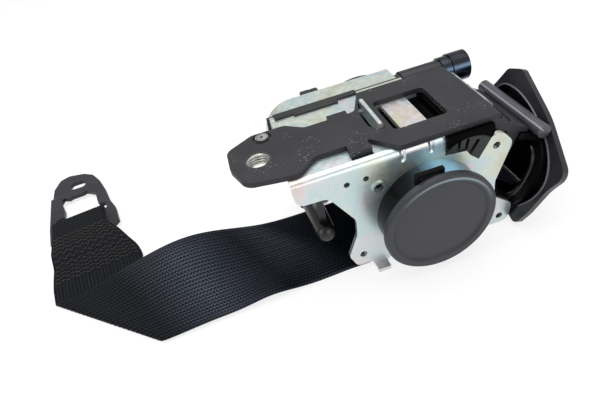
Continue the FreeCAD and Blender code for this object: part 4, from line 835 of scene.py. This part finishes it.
def make_liner():
    """The throat's black bowl: from the mouth's outline down to a slit that the webbing fills."""
    build = bmesh.new()
    outline = rounded(MOUTH, True)
    rings = []
    for steps, shift in ((BOWL_STEPS, 0.0), (BOWL_STEPS[::-1], BOWL_WALL)):
        for out, share in steps:
            ring = []
            for p in outline:
                slit = Vector((max(-17.2, min(31.2, p.x)), 17.4 if p.y > 17 else 15.2))
                spot = p.lerp(slit, share)
                ring.append(build.verts.new(throat_spot(out + shift, spot.x, spot.y)))
            rings.append(ring)
    skin(build, rings, True, True)
    return mesh_object("throat_bowl", build, GLOSSY)


throat = make_liner()
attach(throat, "retractor")
lip = bead("throat_lip", LIP_LINE, True, -2.3, 1.25, GLOSSY)
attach(lip, "retractor")
# The bead along the bezel's hole carries a painted highlight.
rim = bead("bezel_bead", RIM_LINE, False, -0.05, 0.5, RIM)
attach(rim, "retractor")


def make_clips():
    """The two black clips that peek over the pan's far upper edge."""
    pan = NODES["pretensioner_housing"]
    spots = [pan.matrix_world @ v.co / MM for v in pan.data.vertices]
    wall = max(p.y for p in spots)
    crown = max(p.z for p in spots)
    depth, height, overlap, edge_radius = 4.2, 6.5, 0.1, 0.9
    build = bmesh.new()
    for left, right, top in ((31.8, 37.2, crown), (36.8, 41.2, crown - 0.1)):
        low = Vector((left, wall - overlap, top - height))
        high = Vector((right, wall + depth, top))
        made = bmesh.ops.create_cube(build, size=1.0)["verts"]
        for vert in made:
            share = vert.co + Vector((0.5, 0.5, 0.5))
            vert.co = Vector(low[i] + (high[i] - low[i]) * share[i] for i in range(3)) * MM
        edges = list({edge for vert in made for edge in vert.link_edges})
        bmesh.ops.bevel(build, geom=edges, offset=edge_radius * MM, segments=4, affect="EDGES", profile=0.5)
    return mesh_object("pan_clips", build, CASE)


def make_guard_end():
    """The rounded near end of the guard's lip, where the webbing's edge can rub."""
    centre = Vector((19.3, -12.0, -39.6))
    lip_radius, clearance, end_radius = 4.6, 1.01, 4.2
    build = bmesh.new()
    bmesh.ops.create_uvsphere(build, u_segments=32, v_segments=20, radius=1.0)
    for vert in build.verts:
        ball = Vector((vert.co.x * lip_radius * clearance, vert.co.y * end_radius,
                       vert.co.z * lip_radius * clearance))
        vert.co = ball * MM + centre * MM
    for face in build.faces:
        face.smooth = True
    return mesh_object("guard_lip_end", build, GUARD)


clips = make_clips()
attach(clips, "retractor")
guard_end = make_guard_end()
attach(guard_end, "retractor")


def make_floor():
    """A pale floor that the camera sees as white and that keeps a soft shadow."""
    gap, glow_share = 0.05, 0.78
    bpy.ops.mesh.primitive_plane_add(size=6.0, location=(0, 0, (FLOOR - gap) * MM))
    floor = bpy.context.object
    floor.name = "studio_floor"
    material = bpy.data.materials.new("white_paper")
    material.use_nodes = True
    tree = material.node_tree
    tree.nodes.clear()
    paper = put(tree, "ShaderNodeBsdfDiffuse", Color=colour("#F7F7F7"))
    glow = put(tree, "ShaderNodeEmission", Color=colour("#FFFFFF"), Strength=1.0)
    rays = put(tree, "ShaderNodeLightPath").outputs
    seen = maths(tree, "MAXIMUM", rays["Is Camera Ray"], rays["Is Glossy Ray"])
    mixed = put(tree, "ShaderNodeMixShader", i0=maths(tree, "MULTIPLY", seen, glow_share),
                i1=paper.outputs[0], i2=glow.outputs[0])
    put(tree, "ShaderNodeOutputMaterial", Surface=mixed.outputs[0])
    floor.data.materials.append(material)


def lamp(name, place, aim, size, power):
    """A soft rectangular lamp at a place, turned to its aim; metres and watts."""
    data = bpy.data.lights.new(name, "AREA")
    data.shape = "RECTANGLE"
    data.size, data.size_y = size
    data.energy = power
    item = add_object(name, data)
    item.location = place
    item.rotation_mode = "QUATERNION"
    item.rotation_quaternion = (Vector(aim) - Vector(place)).to_track_quat("-Z", "Y")


def make_light():
    """A large soft lamp overhead, one from the left and one from the front, in a white room."""
    lamp("overhead", (0.0, 0.15, 0.75), (0.0, 0.0, -0.03), (0.9, 0.7), 7.0)
    lamp("left", (-0.75, -0.25, 0.35), (0.0, 0.0, -0.03), (0.5, 0.5), 2.2)
    lamp("front", (0.35, -0.8, 0.3), (0.03, 0.0, -0.04), (0.6, 0.4), 2.0)
    world = bpy.data.worlds.new("white_room")
    bpy.context.scene.world = world
    world.use_nodes = True
    tree = world.node_tree
    tree.nodes.clear()
    rays = put(tree, "ShaderNodeLightPath").outputs
    seen = maths(tree, "MAXIMUM", rays["Is Camera Ray"], rays["Is Transmission Ray"])
    back = put(tree, "ShaderNodeBackground", Color=colour("#FFFFFF"),
               Strength=spread(tree, seen, 0.0, 1.0, 0.55, 1.0))
    put(tree, "ShaderNodeOutputWorld", Surface=back.outputs[0])


def make_camera():
    """The photograph's camera, 28 mm on a 36 mm frame, from the front left and above."""
    data = bpy.data.cameras.new("camera")
    data.lens = 28.10
    data.sensor_width = 36.0
    data.clip_start = 0.005
    item = add_object("camera", data)
    right = Vector((0.943, -0.285, -0.171))
    down = Vector((-0.316, -0.607, -0.729))
    away = Vector((0.104, 0.742, -0.662))
    turn = Matrix((right, -down, -away)).transposed()
    item.matrix_world = Matrix.Translation(Vector((-7.3, -159.3, 111.4)) * MM) @ turn.to_4x4()
    bpy.context.scene.camera = item


make_floor()
make_light()
make_camera()
bpy.context.scene.view_settings.view_transform = "Standard"
